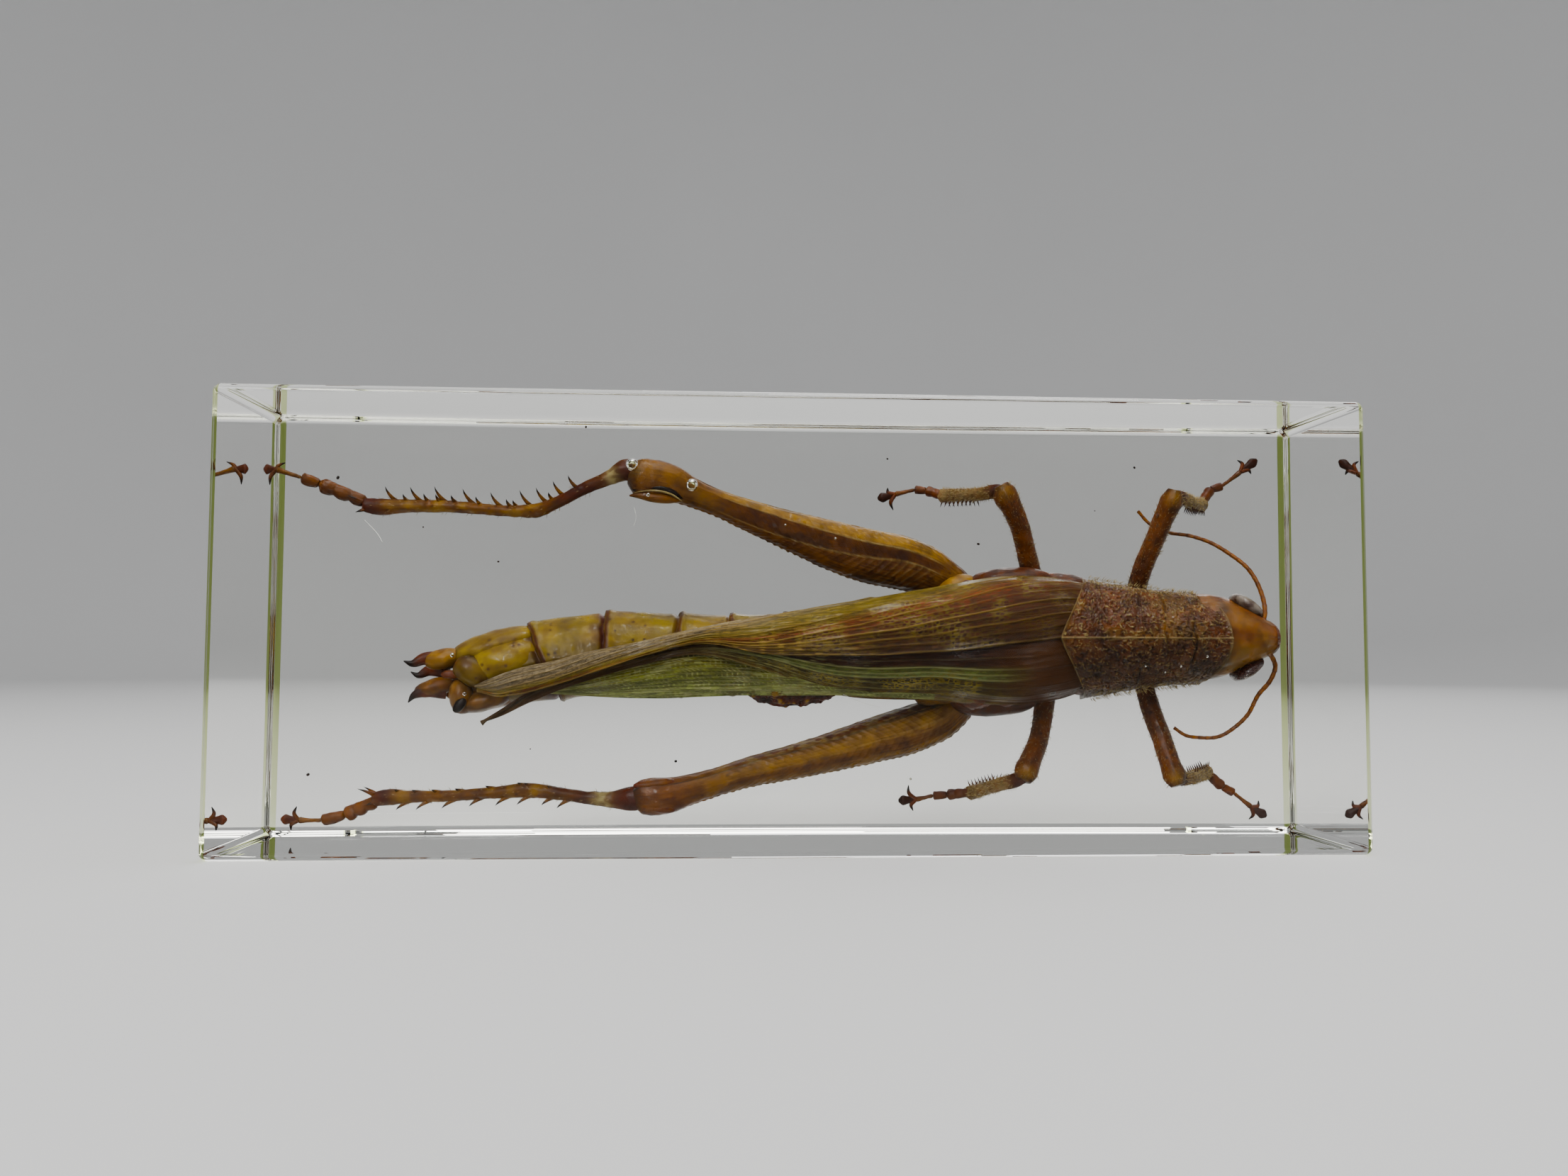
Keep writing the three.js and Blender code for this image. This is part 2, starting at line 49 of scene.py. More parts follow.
THORAX = [  # x, y, z, half width along Z, half depth along Y
    [10.5, 1.5, 19.6, 4.3, 4.5],
    [13.5, 1.4, 19.8, 4.6, 4.8],
    [17, 1.6, 20, 6.1, 5.2],
    [22, 1.6, 20.4, 6.3, 5.4],
    [27, 1.4, 20.8, 5.9, 5.5],
    [33, 1.2, 20.9, 4.9, 5.2],
    [38, 1, 21, 4.4, 5],
    [42, 0.8, 21, 3.8, 4.8],
]
FLANK_SEAMS = [16.5, 20.5, 24.5, 28.5, 33, 36.5]


def colour(red, green, blue):
    """A dry shell's display colour, 0 to 255 a channel, as linear values for the same shell soaked in resin.

    Formula: shade * (grey + depth * (linear - grey)), where grey is the colour's own luminance.
    """
    share = np.array([red, green, blue]) / 255
    linear = np.where(share <= 0.04045, share / 12.92, ((share + 0.055) / 1.055) ** 2.4)
    grey = linear @ np.array([0.2126, 0.7152, 0.0722])
    soaked = WET_SHADE * (grey + WET_DEPTH * (linear - grey))
    return (*np.maximum(soaked, 0.0006).tolist(), 1.0)


def hermite(knots, values, at):
    """Smooth curve through the values at the knots: cubic pieces whose slopes are finite differences."""
    knots, values, at = (np.asarray(item, float) for item in (knots, values, at))
    slopes = np.gradient(values, knots, axis=0)
    piece = np.clip(np.searchsorted(knots, at, side="right") - 1, 0, len(knots) - 2)
    tail = (-1,) + (1,) * (values.ndim - 1)
    step = (knots[piece + 1] - knots[piece]).reshape(tail)
    t = (at - knots[piece]).reshape(tail) / step
    start, end = values[piece], values[piece + 1]
    rise = step * (slopes[piece] * t * (1 - t) ** 2 - slopes[piece + 1] * t**2 * (1 - t))
    return start + (end - start) * t**2 * (3 - 2 * t) + rise


def smooth_run(stations, count):
    """Rows evenly spaced by length along the smooth curve through stations; widths are blended alike."""
    stations = np.asarray(stations, float)
    if stations.shape[1] == 4:
        stations = np.column_stack([stations, stations[:, 3]])
    lengths = np.linalg.norm(np.diff(stations[:, :3], axis=0), axis=1)
    knots = np.concatenate([[0], np.cumsum(lengths)])
    return hermite(knots, stations, np.linspace(0, knots[-1], count))


def unit(vectors):
    """Each vector over its length."""
    return vectors / np.maximum(np.linalg.norm(vectors, axis=-1, keepdims=True), 1e-12)


def limb_rows(run, around, side=(0, 0, 1), upright=False):
    """Rings square to a run: half width * cos(angle) aside plus half depth * sin(angle) to the front.

    Angle 0 lies on the given side, a quarter turn on is the front. Upright rings keep to planes across
    the X axis instead. Returns rings, outward and angle.
    """
    centre = run[:, None, :3]
    forward = unit(np.gradient(run[:, :3], axis=0) * ((1, 0, 0) if upright else (1, 1, 1)))
    front = unit(np.array([0, -1, 0]) + forward * forward[:, 1:2])
    across = np.cross(forward, front)
    across *= np.sign(np.sum(across @ np.array(side)))
    angle = 2 * np.pi * np.arange(around) / around
    wide = run[:, 3:4] * np.cos(angle)
    deep = run[:, 4:5] * np.sin(angle)
    rows = centre + across[:, None] * wide[..., None] + front[:, None] * deep[..., None]
    return rows, unit(rows - centre), angle


def near(value, place, width):
    """A smooth bell: 1 at the place, falling off over the width."""
    return np.exp(-(((value - place) / width) ** 2))


def near_angle(angle, place, width):
    """The same bell round a ring, with angles in radians."""
    return np.exp(-((np.angle(np.exp(1j * (angle - place))) / width) ** 2))


def ramp_up(value, start, end):
    """0 before start, 1 after end, with a smooth step between."""
    t = np.clip((value - start) / (end - start), 0, 1)
    return t * t * (3 - 2 * t)


def lattice_noise(points, size, seed):
    """Smooth noise from -1 to 1: random values on a cubic lattice of that size, blended between."""
    table = np.random.default_rng(seed).uniform(-1, 1, 4096)
    place = np.asarray(points, float) / size
    cell = np.floor(place).astype(np.int64)
    f = place - cell
    f = f * f * f * (f * (f * 6 - 15) + 10)
    total = 0
    for dx, dy, dz in np.ndindex(2, 2, 2):
        c = cell + np.array([dx, dy, dz])
        key = (c[..., 0] * 73856093) ^ (c[..., 1] * 19349663) ^ (c[..., 2] * 83492791)
        corner = np.array([dx, dy, dz])
        weight = np.prod(np.where(corner, f, 1 - f), axis=-1)
        total = total + table[key & 4095] * weight
    return total


def stains_and_painted_light(rows, dark=0.0, pale=0.0, gold=0.0, rust=0.0):
    """Four masks of a skin, 0 to 1 at each point: near-black, cream, gold and red-brown; besides the shell's
    own markings, some carry painted shade and painted highlights.
    """
    shape = rows.shape[:-1]
    return np.stack([np.broadcast_to(np.clip(mask, 0, 1), shape) for mask in (dark, pale, gold, rust)], -1)


def skin(rows, marks=None, lay=None, finish=0, sheet=False):
    """Closed skin over rings of points: quads between rings, and each end closed, facing out.

    rows is rings x around x 3, or many x rings x around x 3 for like pieces made at once. An end is
    closed by a fan to its middle; on a sheet, whose ring is its front then its back, by a strip.
    """
    rows = np.asarray(rows, float)
    if rows.ndim == 3:
        rows = rows[None]
        marks = None if marks is None else marks[None]
        lay = None if lay is None else lay[None]
    marks = np.zeros(rows.shape[:3] + (4,)) if marks is None else marks
    lay = np.zeros(rows.shape[:3] + (3,)) if lay is None else lay
    count, along, around = rows.shape[:3]
    index = np.arange(count * along * around).reshape(count, along, around)
    turned = np.roll(index, -1, axis=2)
    quads = [np.stack([index[:, :-1], turned[:, :-1], turned[:, 1:], index[:, 1:]], -1).reshape(-1, 4)]
    parts = [[grid.reshape(-1, grid.shape[-1])] for grid in (rows, marks, lay)]
    tris = np.zeros((0, 3), int)
    if sheet:
        half = around // 2
        for end, flip in ((0, 1), (along - 1, -1)):
            front, back = index[:, end, :half], index[:, end, : half - 1 : -1]
            strip = [front[:, :-1], back[:, :-1], back[:, 1:], front[:, 1:]][::flip]
            quads.append(np.stack(strip, -1).reshape(-1, 4))
    else:
        middle = index.size + np.arange(2 * count).reshape(2, count, 1) + np.zeros((1, 1, around), int)
        fans = [[middle[0], turned[:, 0], index[:, 0]], [middle[1], index[:, -1], turned[:, -1]]]
        tris = np.concatenate([np.stack(fan, -1).reshape(-1, 3) for fan in fans])
        for part, grid in zip(parts, (rows, marks, lay)):
            part += [grid[:, 0].mean(1), grid[:, -1].mean(1)]
    points, marks, lay = (np.concatenate(part) for part in parts)
    quads = np.concatenate(quads)
    p = points - points.mean(0)
    a, b, c, d = (p[quads[:, k]] for k in range(4))
    volume = np.sum(a * (np.cross(b, c) + np.cross(c, d)))
    a, b, c = (p[tris[:, k]] for k in range(3))
    if volume + np.sum(a * np.cross(b, c)) < 0:
        quads, tris = quads[:, ::-1], tris[:, ::-1]
    return {"points": points, "quads": quads, "tris": tris, "marks": marks, "lay": lay, "finish": finish}


def make_piece(name, skins, finishes, replaced=("locust",)):
    """One object from closed skins laid end to end, in metres; it rides on the root body."""
    starts = np.cumsum([0] + [len(s["points"]) for s in skins])
    corners, sizes, materials = [], [], []
    for s, start in zip(skins, starts):
        for faces in (s["quads"], s["tris"]):
            corners.append((faces + start).ravel())
            sizes.append(np.full(len(faces), faces.shape[1]))
            materials.append(np.full(len(faces), s["finish"]))
    corners, sizes, materials = (np.concatenate(item) for item in (corners, sizes, materials))
    points = np.concatenate([s["points"] for s in skins]) * MM
    mesh = bpy.data.meshes.new(name)
    mesh.vertices.add(len(points))
    mesh.vertices.foreach_set("co", points.ravel())
    mesh.loops.add(len(corners))
    mesh.loops.foreach_set("vertex_index", corners.astype(np.int32))
    mesh.polygons.add(len(sizes))
    mesh.polygons.foreach_set("loop_start", np.concatenate([[0], np.cumsum(sizes)[:-1]]).astype(np.int32))
    mesh.polygons.foreach_set("material_index", materials.astype(np.int32))
    mesh.polygons.foreach_set("use_smooth", np.ones(len(sizes), bool))
    mesh.update(calc_edges=True)
    marks = mesh.attributes.new("marks", "FLOAT_COLOR", "POINT")
    marks.data.foreach_set("color", np.concatenate([s["marks"] for s in skins]).astype(np.float32).ravel())
    lay = mesh.attributes.new("lay", "FLOAT_VECTOR", "POINT")
    lay.data.foreach_set("vector", np.concatenate([s["lay"] for s in skins]).astype(np.float32).ravel())
    for finish in finishes:
        mesh.materials.append(finish)
    piece = bpy.data.objects.new(name, mesh)
    bpy.context.scene.collection.objects.link(piece)
    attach(piece, "root")
    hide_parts(*replaced)
    return piece


def add(tree, kind, inputs=None, **settings):
    """A shader node with its settings, and its inputs set to values or linked to sockets."""
    made = tree.nodes.new(kind)
    for key, value in settings.items():
        setattr(made, key, value)
    for key, value in (inputs or {}).items():
        if isinstance(value, bpy.types.NodeSocket):
            tree.links.new(value, made.inputs[key])
        else:
            made.inputs[key].default_value = value
    return made


def blend(tree, share, first, second, how="MIX"):
    """Colour first turned towards second by the share; returns the colour socket."""
    made = add(tree, "ShaderNodeMix", {0: share, 6: first, 7: second}, data_type="RGBA", blend_type=how)
    return made.outputs[2]


def reckon(tree, how, *values):
    """A Math node; returns its value."""
    return add(tree, "ShaderNodeMath", dict(enumerate(values)), operation=how).outputs[0]


def steps(tree, share, stops):
    """A colour ramp from (place, colour) stops."""
    made = add(tree, "ShaderNodeValToRGB", {0: share})
    elements = made.color_ramp.elements
    while len(elements) < len(stops):
        elements.new(0.5)
    for element, (place, value) in zip(elements, stops):
        element.position = place
        element.color = value if isinstance(value, tuple) else (value, value, value, 1)
    return made.outputs[0]


def new_group(name, inputs, outputs):
    """A node group with named sockets; returns the tree and its input and output nodes."""
    tree = bpy.data.node_groups.new(name, "ShaderNodeTree")
    kinds = {"value": "NodeSocketFloat", "colour": "NodeSocketColor"}
    for socket, kind in inputs:
        tree.interface.new_socket(name=socket, in_out="INPUT", socket_type=kinds[kind])
    for socket, kind in outputs:
        tree.interface.new_socket(name=socket, in_out="OUTPUT", socket_type=kinds[kind])
    return tree, tree.nodes.new("NodeGroupInput"), tree.nodes.new("NodeGroupOutput")


def new_finish(name):
    """A new material; returns it, its node tree and its main shader."""
    material = bpy.data.materials.new(name)
    material.use_nodes = True
    return material, material.node_tree, material.node_tree.nodes["Principled BSDF"]


def make_cuticle():
    """Dried shell: two browns clouded by noise, brown specks, the four stain masks over them (some of them
    painted shade and highlights), fine grain.

    Resin wets the shell, so it shines only in spots where a film of air clings to it.
    """
    tree, given, result = new_group(
        "cuticle",
        [("Light", "colour"), ("Dark", "colour"), ("Specks", "value"), ("Patch", "value"),
         ("Streak", "value")],
        [("Colour", "colour"), ("Rough", "value"), ("Film", "value"), ("Height", "value")],
    )
    place = add(tree, "ShaderNodeTexCoord").outputs["Object"]
    cloud = add(tree, "ShaderNodeTexNoise", {"Vector": place, "Scale": given.outputs["Patch"], "Detail": 5.0,
                                             "Roughness": 0.62})
    grain = add(tree, "ShaderNodeTexNoise", {"Vector": place, "Scale": 5200.0, "Detail": 3.0})
    lay = add(tree, "ShaderNodeAttribute", attribute_name="lay").outputs["Vector"]
    run = add(tree, "ShaderNodeMapping", {"Vector": lay, "Scale": (0.35, 9.0, 1.0)}).outputs[0]
    streak = add(tree, "ShaderNodeTexNoise", {"Vector": run, "Scale": 1.6, "Detail": 3.0})
    mixed = reckon(tree, "MULTIPLY_ADD", reckon(tree, "SUBTRACT", streak.outputs[0], 0.5),
                   given.outputs["Streak"], cloud.outputs[0])
    share = steps(tree, mixed, [(0.34, 0.0), (0.66, 1.0)])
    base = blend(tree, share, given.outputs["Dark"], given.outputs["Light"])
    fine = steps(tree, grain.outputs[0], [(0.3, 0.78), (0.7, 1.12)])
    base = blend(tree, 1.0, base, fine, "MULTIPLY")
    dots = add(tree, "ShaderNodeTexVoronoi", {"Vector": place, "Scale": 1700.0, "Randomness": 1.0})
    lot = add(tree, "ShaderNodeSeparateColor", {0: dots.outputs["Color"]}).outputs[0]
    chosen = reckon(tree, "LESS_THAN", lot, given.outputs["Specks"])
    dot = reckon(tree, "MULTIPLY", steps(tree, dots.outputs["Distance"], [(0.2, 1.0), (0.36, 0.0)]), chosen)
    base = blend(tree, reckon(tree, "MULTIPLY", dot, 0.8), base, colour(44, 18, 6))
    marks = add(tree, "ShaderNodeAttribute", attribute_name="marks")
    channel = add(tree, "ShaderNodeSeparateColor", {0: marks.outputs["Color"]})
    gold = blend(tree, share, colour(124, 94, 12), colour(168, 134, 30))
    rust = blend(tree, share, colour(54, 23, 7), colour(98, 48, 13))
    cream = blend(tree, share, colour(118, 102, 68), colour(176, 164, 128))
    base = blend(tree, channel.outputs[2], base, gold)
    base = blend(tree, marks.outputs["Alpha"], base, rust)
    base = blend(tree, channel.outputs[0], base, colour(20, 11, 7))
    base = blend(tree, channel.outputs[1], base, cream)
    rough = steps(tree, cloud.outputs[0], [(0.3, 0.45), (0.7, 0.22)])
    height = reckon(tree, "MULTIPLY_ADD", grain.outputs[0], 0.5, cloud.outputs[0])
    film = add(tree, "ShaderNodeTexNoise", {"Vector": place, "Scale": 2400.0, "Detail": 4.0})
    tree.links.new(steps(tree, film.outputs[0], [(0.58, 0.0), (0.72, 0.85)]), result.inputs["Film"])
    tree.links.new(base, result.inputs["Colour"])
    tree.links.new(rough, result.inputs["Rough"])
    tree.links.new(height, result.inputs["Height"])
    return tree


CUTICLE = make_cuticle()


def shell_finish(name, light, dark, specks=0.06, patch=900.0, streak=0.5, relief=0.00006):
    """A material of dried shell in two browns, with how speckled, how coarse and how streaked it is."""
    material, tree, shader = new_finish(name)
    group = add(tree, "ShaderNodeGroup", node_tree=CUTICLE)
    given = {"Light": light, "Dark": dark, "Specks": specks, "Patch": patch, "Streak": streak}
    for socket, value in given.items():
        group.inputs[socket].default_value = value
    bump = add(tree, "ShaderNodeBump", {"Strength": 0.8, "Distance": relief,
                                        "Height": group.outputs["Height"]})
    tree.links.new(group.outputs["Colour"], shader.inputs["Base Color"])
    tree.links.new(group.outputs["Rough"], shader.inputs["Roughness"])
    tree.links.new(bump.outputs[0], shader.inputs["Normal"])
    tree.links.new(group.outputs["Film"], shader.inputs["Coat Weight"])
    shader.inputs["Specular IOR Level"].default_value = 0.12
    shader.inputs["Coat Roughness"].default_value = 0.22
    return material


THORAX_BROWN = shell_finish("thorax_shell", colour(104, 62, 24), colour(52, 26, 10), specks=0.1)
FLANK_PLATES = [  # centre, half sizes and turn of the plates that show past the wings, and their stains
    ([22.6, 2.5, 26.55], [4.5, 2.3, 1.6], 2, dict(dark=0.2)),
    ([28.6, 2.2, 25.9], [3.4, 2.4, 1.5], -14, dict(dark=0.2)),
    ([16.9, 3.0, 26.0], [2.2, 1.8, 1.35], 12, dict(gold=0.95)),
    ([20.6, 3.0, 14.3], [4.6, 2.2, 1.6], 2, dict(dark=0.3)),
    ([14.9, 3.2, 14.9], [2.6, 1.8, 1.1], 8, dict(gold=0.5)),
]


def thorax():
    """Ring chain whose flanks are cut by slanted grooves and swell between them; the belly is flat."""
    run = smooth_run(THORAX, 150)
    rows, outward, angle = limb_rows(run, 96)
    slanted = rows[..., 0] + 0.45 * rows[..., 1]
    flank = np.abs(np.cos(angle)) ** 0.5
    groove = sum(near(slanted, seam, 0.28) for seam in FLANK_SEAMS) * flank
    swell = 0.35 * np.sin((slanted - 16.5) * np.pi / 4) ** 2 * flank
    rugged = 0.12 * lattice_noise(rows, 0.7, 3) + 0.07 * lattice_noise(rows, 0.3, 4)
    rows = rows + outward * (swell - 0.45 * groove + rugged)[..., None]
    rows[..., 1] = np.minimum(rows[..., 1], 6.3 + 0.1 * rugged)
    return skin(rows, stains_and_painted_light(rows, dark=0.7 * groove, rust=0.4 * flank))


def lobe(centre, half_sizes, turn, around=40, along=30, **marks):
    """Rounded plate: a sphere pulled to three half sizes, squared off a little, turned in the XZ plane.

    Its ends and some blotches are rusty, and its lower side is darkened as painted shade.
    """
    rise = np.linspace(-1, 1, along + 2)[1:-1] * np.pi / 2
    angle = 2 * np.pi * np.arange(around) / around
    x = np.sign(np.sin(rise)) * np.abs(np.sin(rise)) ** 0.9
    ring = np.cos(rise) ** 0.85
    local = np.stack([
        np.broadcast_to(x[:, None], (along, around)),
        ring[:, None] * -np.sin(angle),
        ring[:, None] * np.cos(angle),
    ], -1) * np.array(half_sizes)
    tilt = np.radians(turn)
    rows = np.empty_like(local)
    rows[..., 0] = centre[0] + local[..., 0] * np.cos(tilt) - local[..., 2] * np.sin(tilt)
    rows[..., 1] = centre[1] + local[..., 1]
    rows[..., 2] = centre[2] + local[..., 0] * np.sin(tilt) + local[..., 2] * np.cos(tilt)
    rough = 0.07 * lattice_noise(rows, 0.9, 21) + 0.03 * lattice_noise(rows, 0.35, 22)
    rows += rough[..., None] * unit(local)
    rim = ramp_up(np.abs(x), 0.75, 1.0)[:, None]
    given = dict(marks)
    blotch = ramp_up(lattice_noise(rows, 0.6, 23), 0.05, 0.6)
    given["rust"] = given.get("rust", 0) + 0.6 * rim + 0.35 * blotch
    # painted shade: the plate's lower side is darkened
    given["dark"] = given.get("dark", 0) + 0.25 * ramp_up(-np.cos(angle), 0.3, 1.0)
    return rows, given


def plates(table, finish=0):
    """Each entry of a table of centre, half sizes, turn and stains as a rounded plate."""
    made = []
    for centre, half_sizes, turn, marks in table:
        rows, given = lobe(centre, half_sizes, turn, **marks)
        made.append(skin(rows, stains_and_painted_light(rows, **given), finish=finish))
    return made


make_piece("thorax", [thorax()] + plates(FLANK_PLATES), [THORAX_BROWN])


# ================================================================================================
# The abdomen: a tube of rings, glossy yellow-olive where the shell is thin, with a rust-red suture
# behind each. The tail is a cluster of overlapping lobes, and four black-tipped valves dig the burrow.
# ================================================================================================

ABDOMEN = [
    [14, 1.6, 19.6, 4.5, 4.5],
    [8, 1.6, 19.4, 4.25, 4.4],
    [1, 1.5, 19.2, 4.1, 4.3],
    [-6, 1.4, 19, 4.05, 4.2],
    [-11.8, 1.3, 18.95, 4.2, 4.2],
    [-19.4, 1.2, 19.0, 4.2, 4.2],
    [-26, 1.2, 18.1, 4.0, 4.05],
    [-28.6, 1.2, 17.6, 3.7, 3.7],
    [-31.4, 1.15, 17.1, 2.8, 2.9],
    [-33.6, 1.1, 16.9, 1.6, 1.8],
]
RING_ENDS = [10, 4.6, -1.4, -6.8, -11.9, -19.4, -26.3]
RING_LIP = 0.22
ABDOMEN_OLIVE = shell_finish(
    "abdomen_shell", colour(158, 138, 20), colour(100, 80, 8), specks=0.12, patch=420.0, streak=0.2,
    relief=0.00003)
TAIL_AMBER = shell_finish(
    "tail_shell", colour(136, 92, 24), colour(66, 38, 10), specks=0.1, patch=700.0, streak=0.2,
    relief=0.00004)

# Tail lobes: centre, half sizes along the lobe, in depth and across, its turn towards +Z, and stains.
TAIL_DOMES = [
    ([-30.2, 0.7, 19.7], [4.6, 2.9, 1.6], 16, dict(gold=0.15)),
    ([-29.0, 0.0, 18.2], [4.3, 3.05, 2.4], 14, dict(gold=0.1)),
    ([-32.2, -1.65, 17.2], [1.95, 1.3, 1.45], 150, dict(rust=0.35, dark=0.35)),
]
TAIL_LOBES = [
    ([-33.35, -0.4, 14.75], [1.8, 2.1, 1.25], 98, dict(gold=0.35, dark=0.1)),
    ([-31.2, -0.1, 14.3], [2.7, 2.2, 1.05], 14, dict(gold=0.3, dark=0.1)),
    ([-30.5, 1.6, 15.4], [3.3, 2.8, 1.9], 6, dict(gold=0.3, rust=0.2)),
    ([-33.6, 3.2, 15.7], [1.7, 1.6, 2.2], 90, dict()),
    ([-35.3, 0.0, 18.45], [1.9, 1.3, 1.0], 12, dict(gold=0.6)),
    ([-35.6, 2.9, 18.2], [1.6, 1.2, 0.95], 10, dict(gold=0.3)),
    ([-36.1, 0.3, 15.6], [2.0, 1.2, 0.9], 14, dict(gold=0.3, rust=0.2)),
    ([-36.1, 3.0, 15.5], [1.7, 1.1, 0.8], 12, dict(rust=0.3)),
]
VALVES = [  # root, heel and tip of each hook
    [[-35.2, 0.2, 18.2, 1.0], [-37.2, -0.2, 18.4, 0.62], [-38.3, -0.5, 17.95, 0.34],
     [-39.1, -0.6, 18.2, 0.05]],
    [[-35.2, 2.4, 17.4, 1.0], [-37.2, 2.8, 17.2, 0.55], [-38.2, 2.7, 16.75, 0.3], [-38.9, 2.6, 17.1, 0.05]],
    [[-35.2, 0.4, 15.4, 1.0], [-37.0, -0.2, 15.2, 0.6], [-38.1, -0.4, 14.75, 0.34],
     [-38.6, -0.4, 14.1, 0.05]],
    [[-35.2, 2.4, 15.6, 1.0], [-37.0, 2.9, 15.5, 0.55], [-38.0, 3, 15.2, 0.3], [-38.5, 3, 14.7, 0.05]],
]


def abdomen():
    """Tube through the stations; its radius climbs along each ring and drops behind its hind edge."""
    run = smooth_run(ABDOMEN, 460)
    rows, outward, angle = limb_rows(run, 96)
    # the hind edge of each ring is a little wavy; that of the last one but one runs aslant
    slant = 0.48 * (rows[..., 2] - 20.2) * (1 - ramp_up(rows[..., 0], -24, -21.5))
    x = rows[..., 0] + 0.14 * lattice_noise(rows, 1.3, 11) + 0.06 * lattice_noise(rows, 0.4, 14) + slant
    edges = np.array([17.0] + RING_ENDS + [-36.5])
    piece = np.clip(np.searchsorted(-edges, -x) - 1, 0, len(edges) - 2)
    share = np.clip((edges[piece] - x) / (edges[piece] - edges[piece + 1]), 0, 1)
    swell = RING_LIP * (share**2 - 0.4) + 0.12 * near(share, 0.93, 0.05)
    swell = swell - 0.32 * (1 - ramp_up(share, 0, 0.09))
    suture = near(share, 0.965, 0.035) + 0.8 * (1 - ramp_up(share, 0.02, 0.09)) * (x > -28)
    band = near(share, 0.06, 0.09) * (x < -12) * (x > -33)
    keel = 0.16 * near_angle(angle, np.pi / 2, 0.06)
    fold = near_angle(angle, -0.42, 0.05) + near_angle(angle, np.pi + 0.42, 0.05)
    dent = 0.07 * lattice_noise(rows, 2.2, 12) + 0.02 * lattice_noise(rows, 0.5, 15)
    rows = rows + outward * (swell + keel - 0.3 * fold + dent)[..., None]
    cloudy = ramp_up(lattice_noise(rows, 1.9, 13), -0.1, 0.6)
    # painted shade: the lower side is darkened and reddened, and the cloudy gold is kept to the upper side as
    # a painted highlight
    shade_below = 1 - ramp_up(rows[..., 2], 17.0, 21.0)
    marks = stains_and_painted_light(rows, dark=0.2 * suture + 0.3 * shade_below + 0.2 * (1 - cloudy), gold=0.2 * cloudy * (1 - shade_below),
                   rust=0.95 * suture + 0.7 * band * cloudy + 0.3 * fold + 0.5 * shade_below * cloudy)
    return skin(rows, marks)


def tail():
    """The lobes, the hooked valves that darken to black tips, and a near-black wedge of painted shade in the
    gap between two lobes.
    """
    made = plates(TAIL_DOMES) + plates(TAIL_LOBES, finish=1)
    for stations in VALVES:
        run = smooth_run(stations, 40)
        run[:, 4] = run[:, 3] * 0.8
        rows, outward, angle = limb_rows(run, 24)
        black = ramp_up(np.linspace(0, 1, 40), 0.5, 0.85)[:, None]
        made.append(skin(rows, stains_and_painted_light(rows, dark=black, rust=0.9), finish=1))
    # painted shade: a near-black wedge fills the gap between two lower lobes
    rows, given = lobe([-33.35, -2.2, 13.9], [0.85, 0.5, 0.5], 55, dark=1.0)
    made.append(skin(rows, stains_and_painted_light(rows, **given), finish=1))
    for side in (-1, 1):
        rows, given = lobe([-34.3, 1 + 2.4 * side, 16.9], [1.0, 0.4, 0.45], 0, rust=0.5)
        made.append(skin(rows, stains_and_painted_light(rows, **given), finish=1))
    return made


make_piece("abdomen", [abdomen()] + tail(), [ABDOMEN_OLIVE, TAIL_AMBER])


# ================================================================================================
# The head: one smooth amber capsule, rounded at the brow, with the face and chewing mouth parts turned
# down and back. Shell again, orange over the crown and olive towards the right cheek.
# ================================================================================================

HEAD = [
    [41.2, 0.6, 21.1, 4.3, 5.2],
    [42.6, 0.7, 21.05, 4.4, 5.7],
    [44.4, 0.9, 21.05, 4.05, 6.0],
    [46.0, 0.9, 21.0, 3.4, 5.9],
    [47.2, 0.8, 20.95, 2.75, 5.5],
    [48.2, 0.6, 20.9, 2.15, 4.7],
    [48.95, 0.3, 20.85, 1.75, 3.8],
    [49.35, 0.0, 20.8, 1.3, 2.9],
    [49.55, -0.2, 20.75, 0.6, 1.6],
]
HEAD_ORANGE = shell_finish(
    "head_shell", colour(122, 70, 12), colour(68, 36, 7), specks=0.1, patch=420.0, streak=0.1, relief=0.00002)


def head():
    """Rounded capsule; a shallow groove runs down the crown, and a ridge on each side bounds the face."""
    run = smooth_run(HEAD, 130)
    rows, outward, angle = limb_rows(run, 110, upright=True)
    front = np.clip((rows[..., 0] - 42) / 7, 0, 1)
    crown = 0.1 * near_angle(angle, np.pi / 2, 0.05) * front
    brow = near(rows[..., 0], 48.85, 0.22) * near_angle(angle, np.pi / 2, 0.9)
    ridges = sum(near_angle(angle, np.pi / 2 + side * 0.62, 0.07) for side in (-1, 1))
    brow += 0.7 * ridges * ramp_up(front, 0.5, 0.9)
    cheek = sum(near_angle(angle, place, 0.06) for place in (-0.5, np.pi + 0.5))
    bumps = 0.07 * lattice_noise(rows, 1.6, 31) + 0.03 * lattice_noise(rows, 0.5, 32)
    rows = rows + outward * (0.13 * brow - crown - 0.14 * cheek + bumps)[..., None]
    right = ramp_up(BODY_Z + 0.6 - rows[..., 2], 0, 2.5)
    cloudy = ramp_up(lattice_noise(rows, 1.5, 33), -0.15, 0.5)
    rim = ramp_up(rows[..., 0], 48.5, 49.2)
    flank = 1 - np.clip(np.sin(angle), 0, 1)
    blotch = ramp_up(lattice_noise(rows, 0.8, 34), 0.1, 0.6)
    marks = stains_and_painted_light(
        rows, dark=0.35 * right * cloudy + 0.5 * near(rows[..., 0], 43.3, 0.5) * (1 - front) + 0.4 * brow,
        gold=(0.15 + 0.25 * cloudy + 0.45 * right) * (1 - 0.4 * flank) * (1 - rim),
        rust=0.45 * rim + 0.15 * flank * cloudy + crown + 0.3 * blotch)
    return skin(rows, marks)


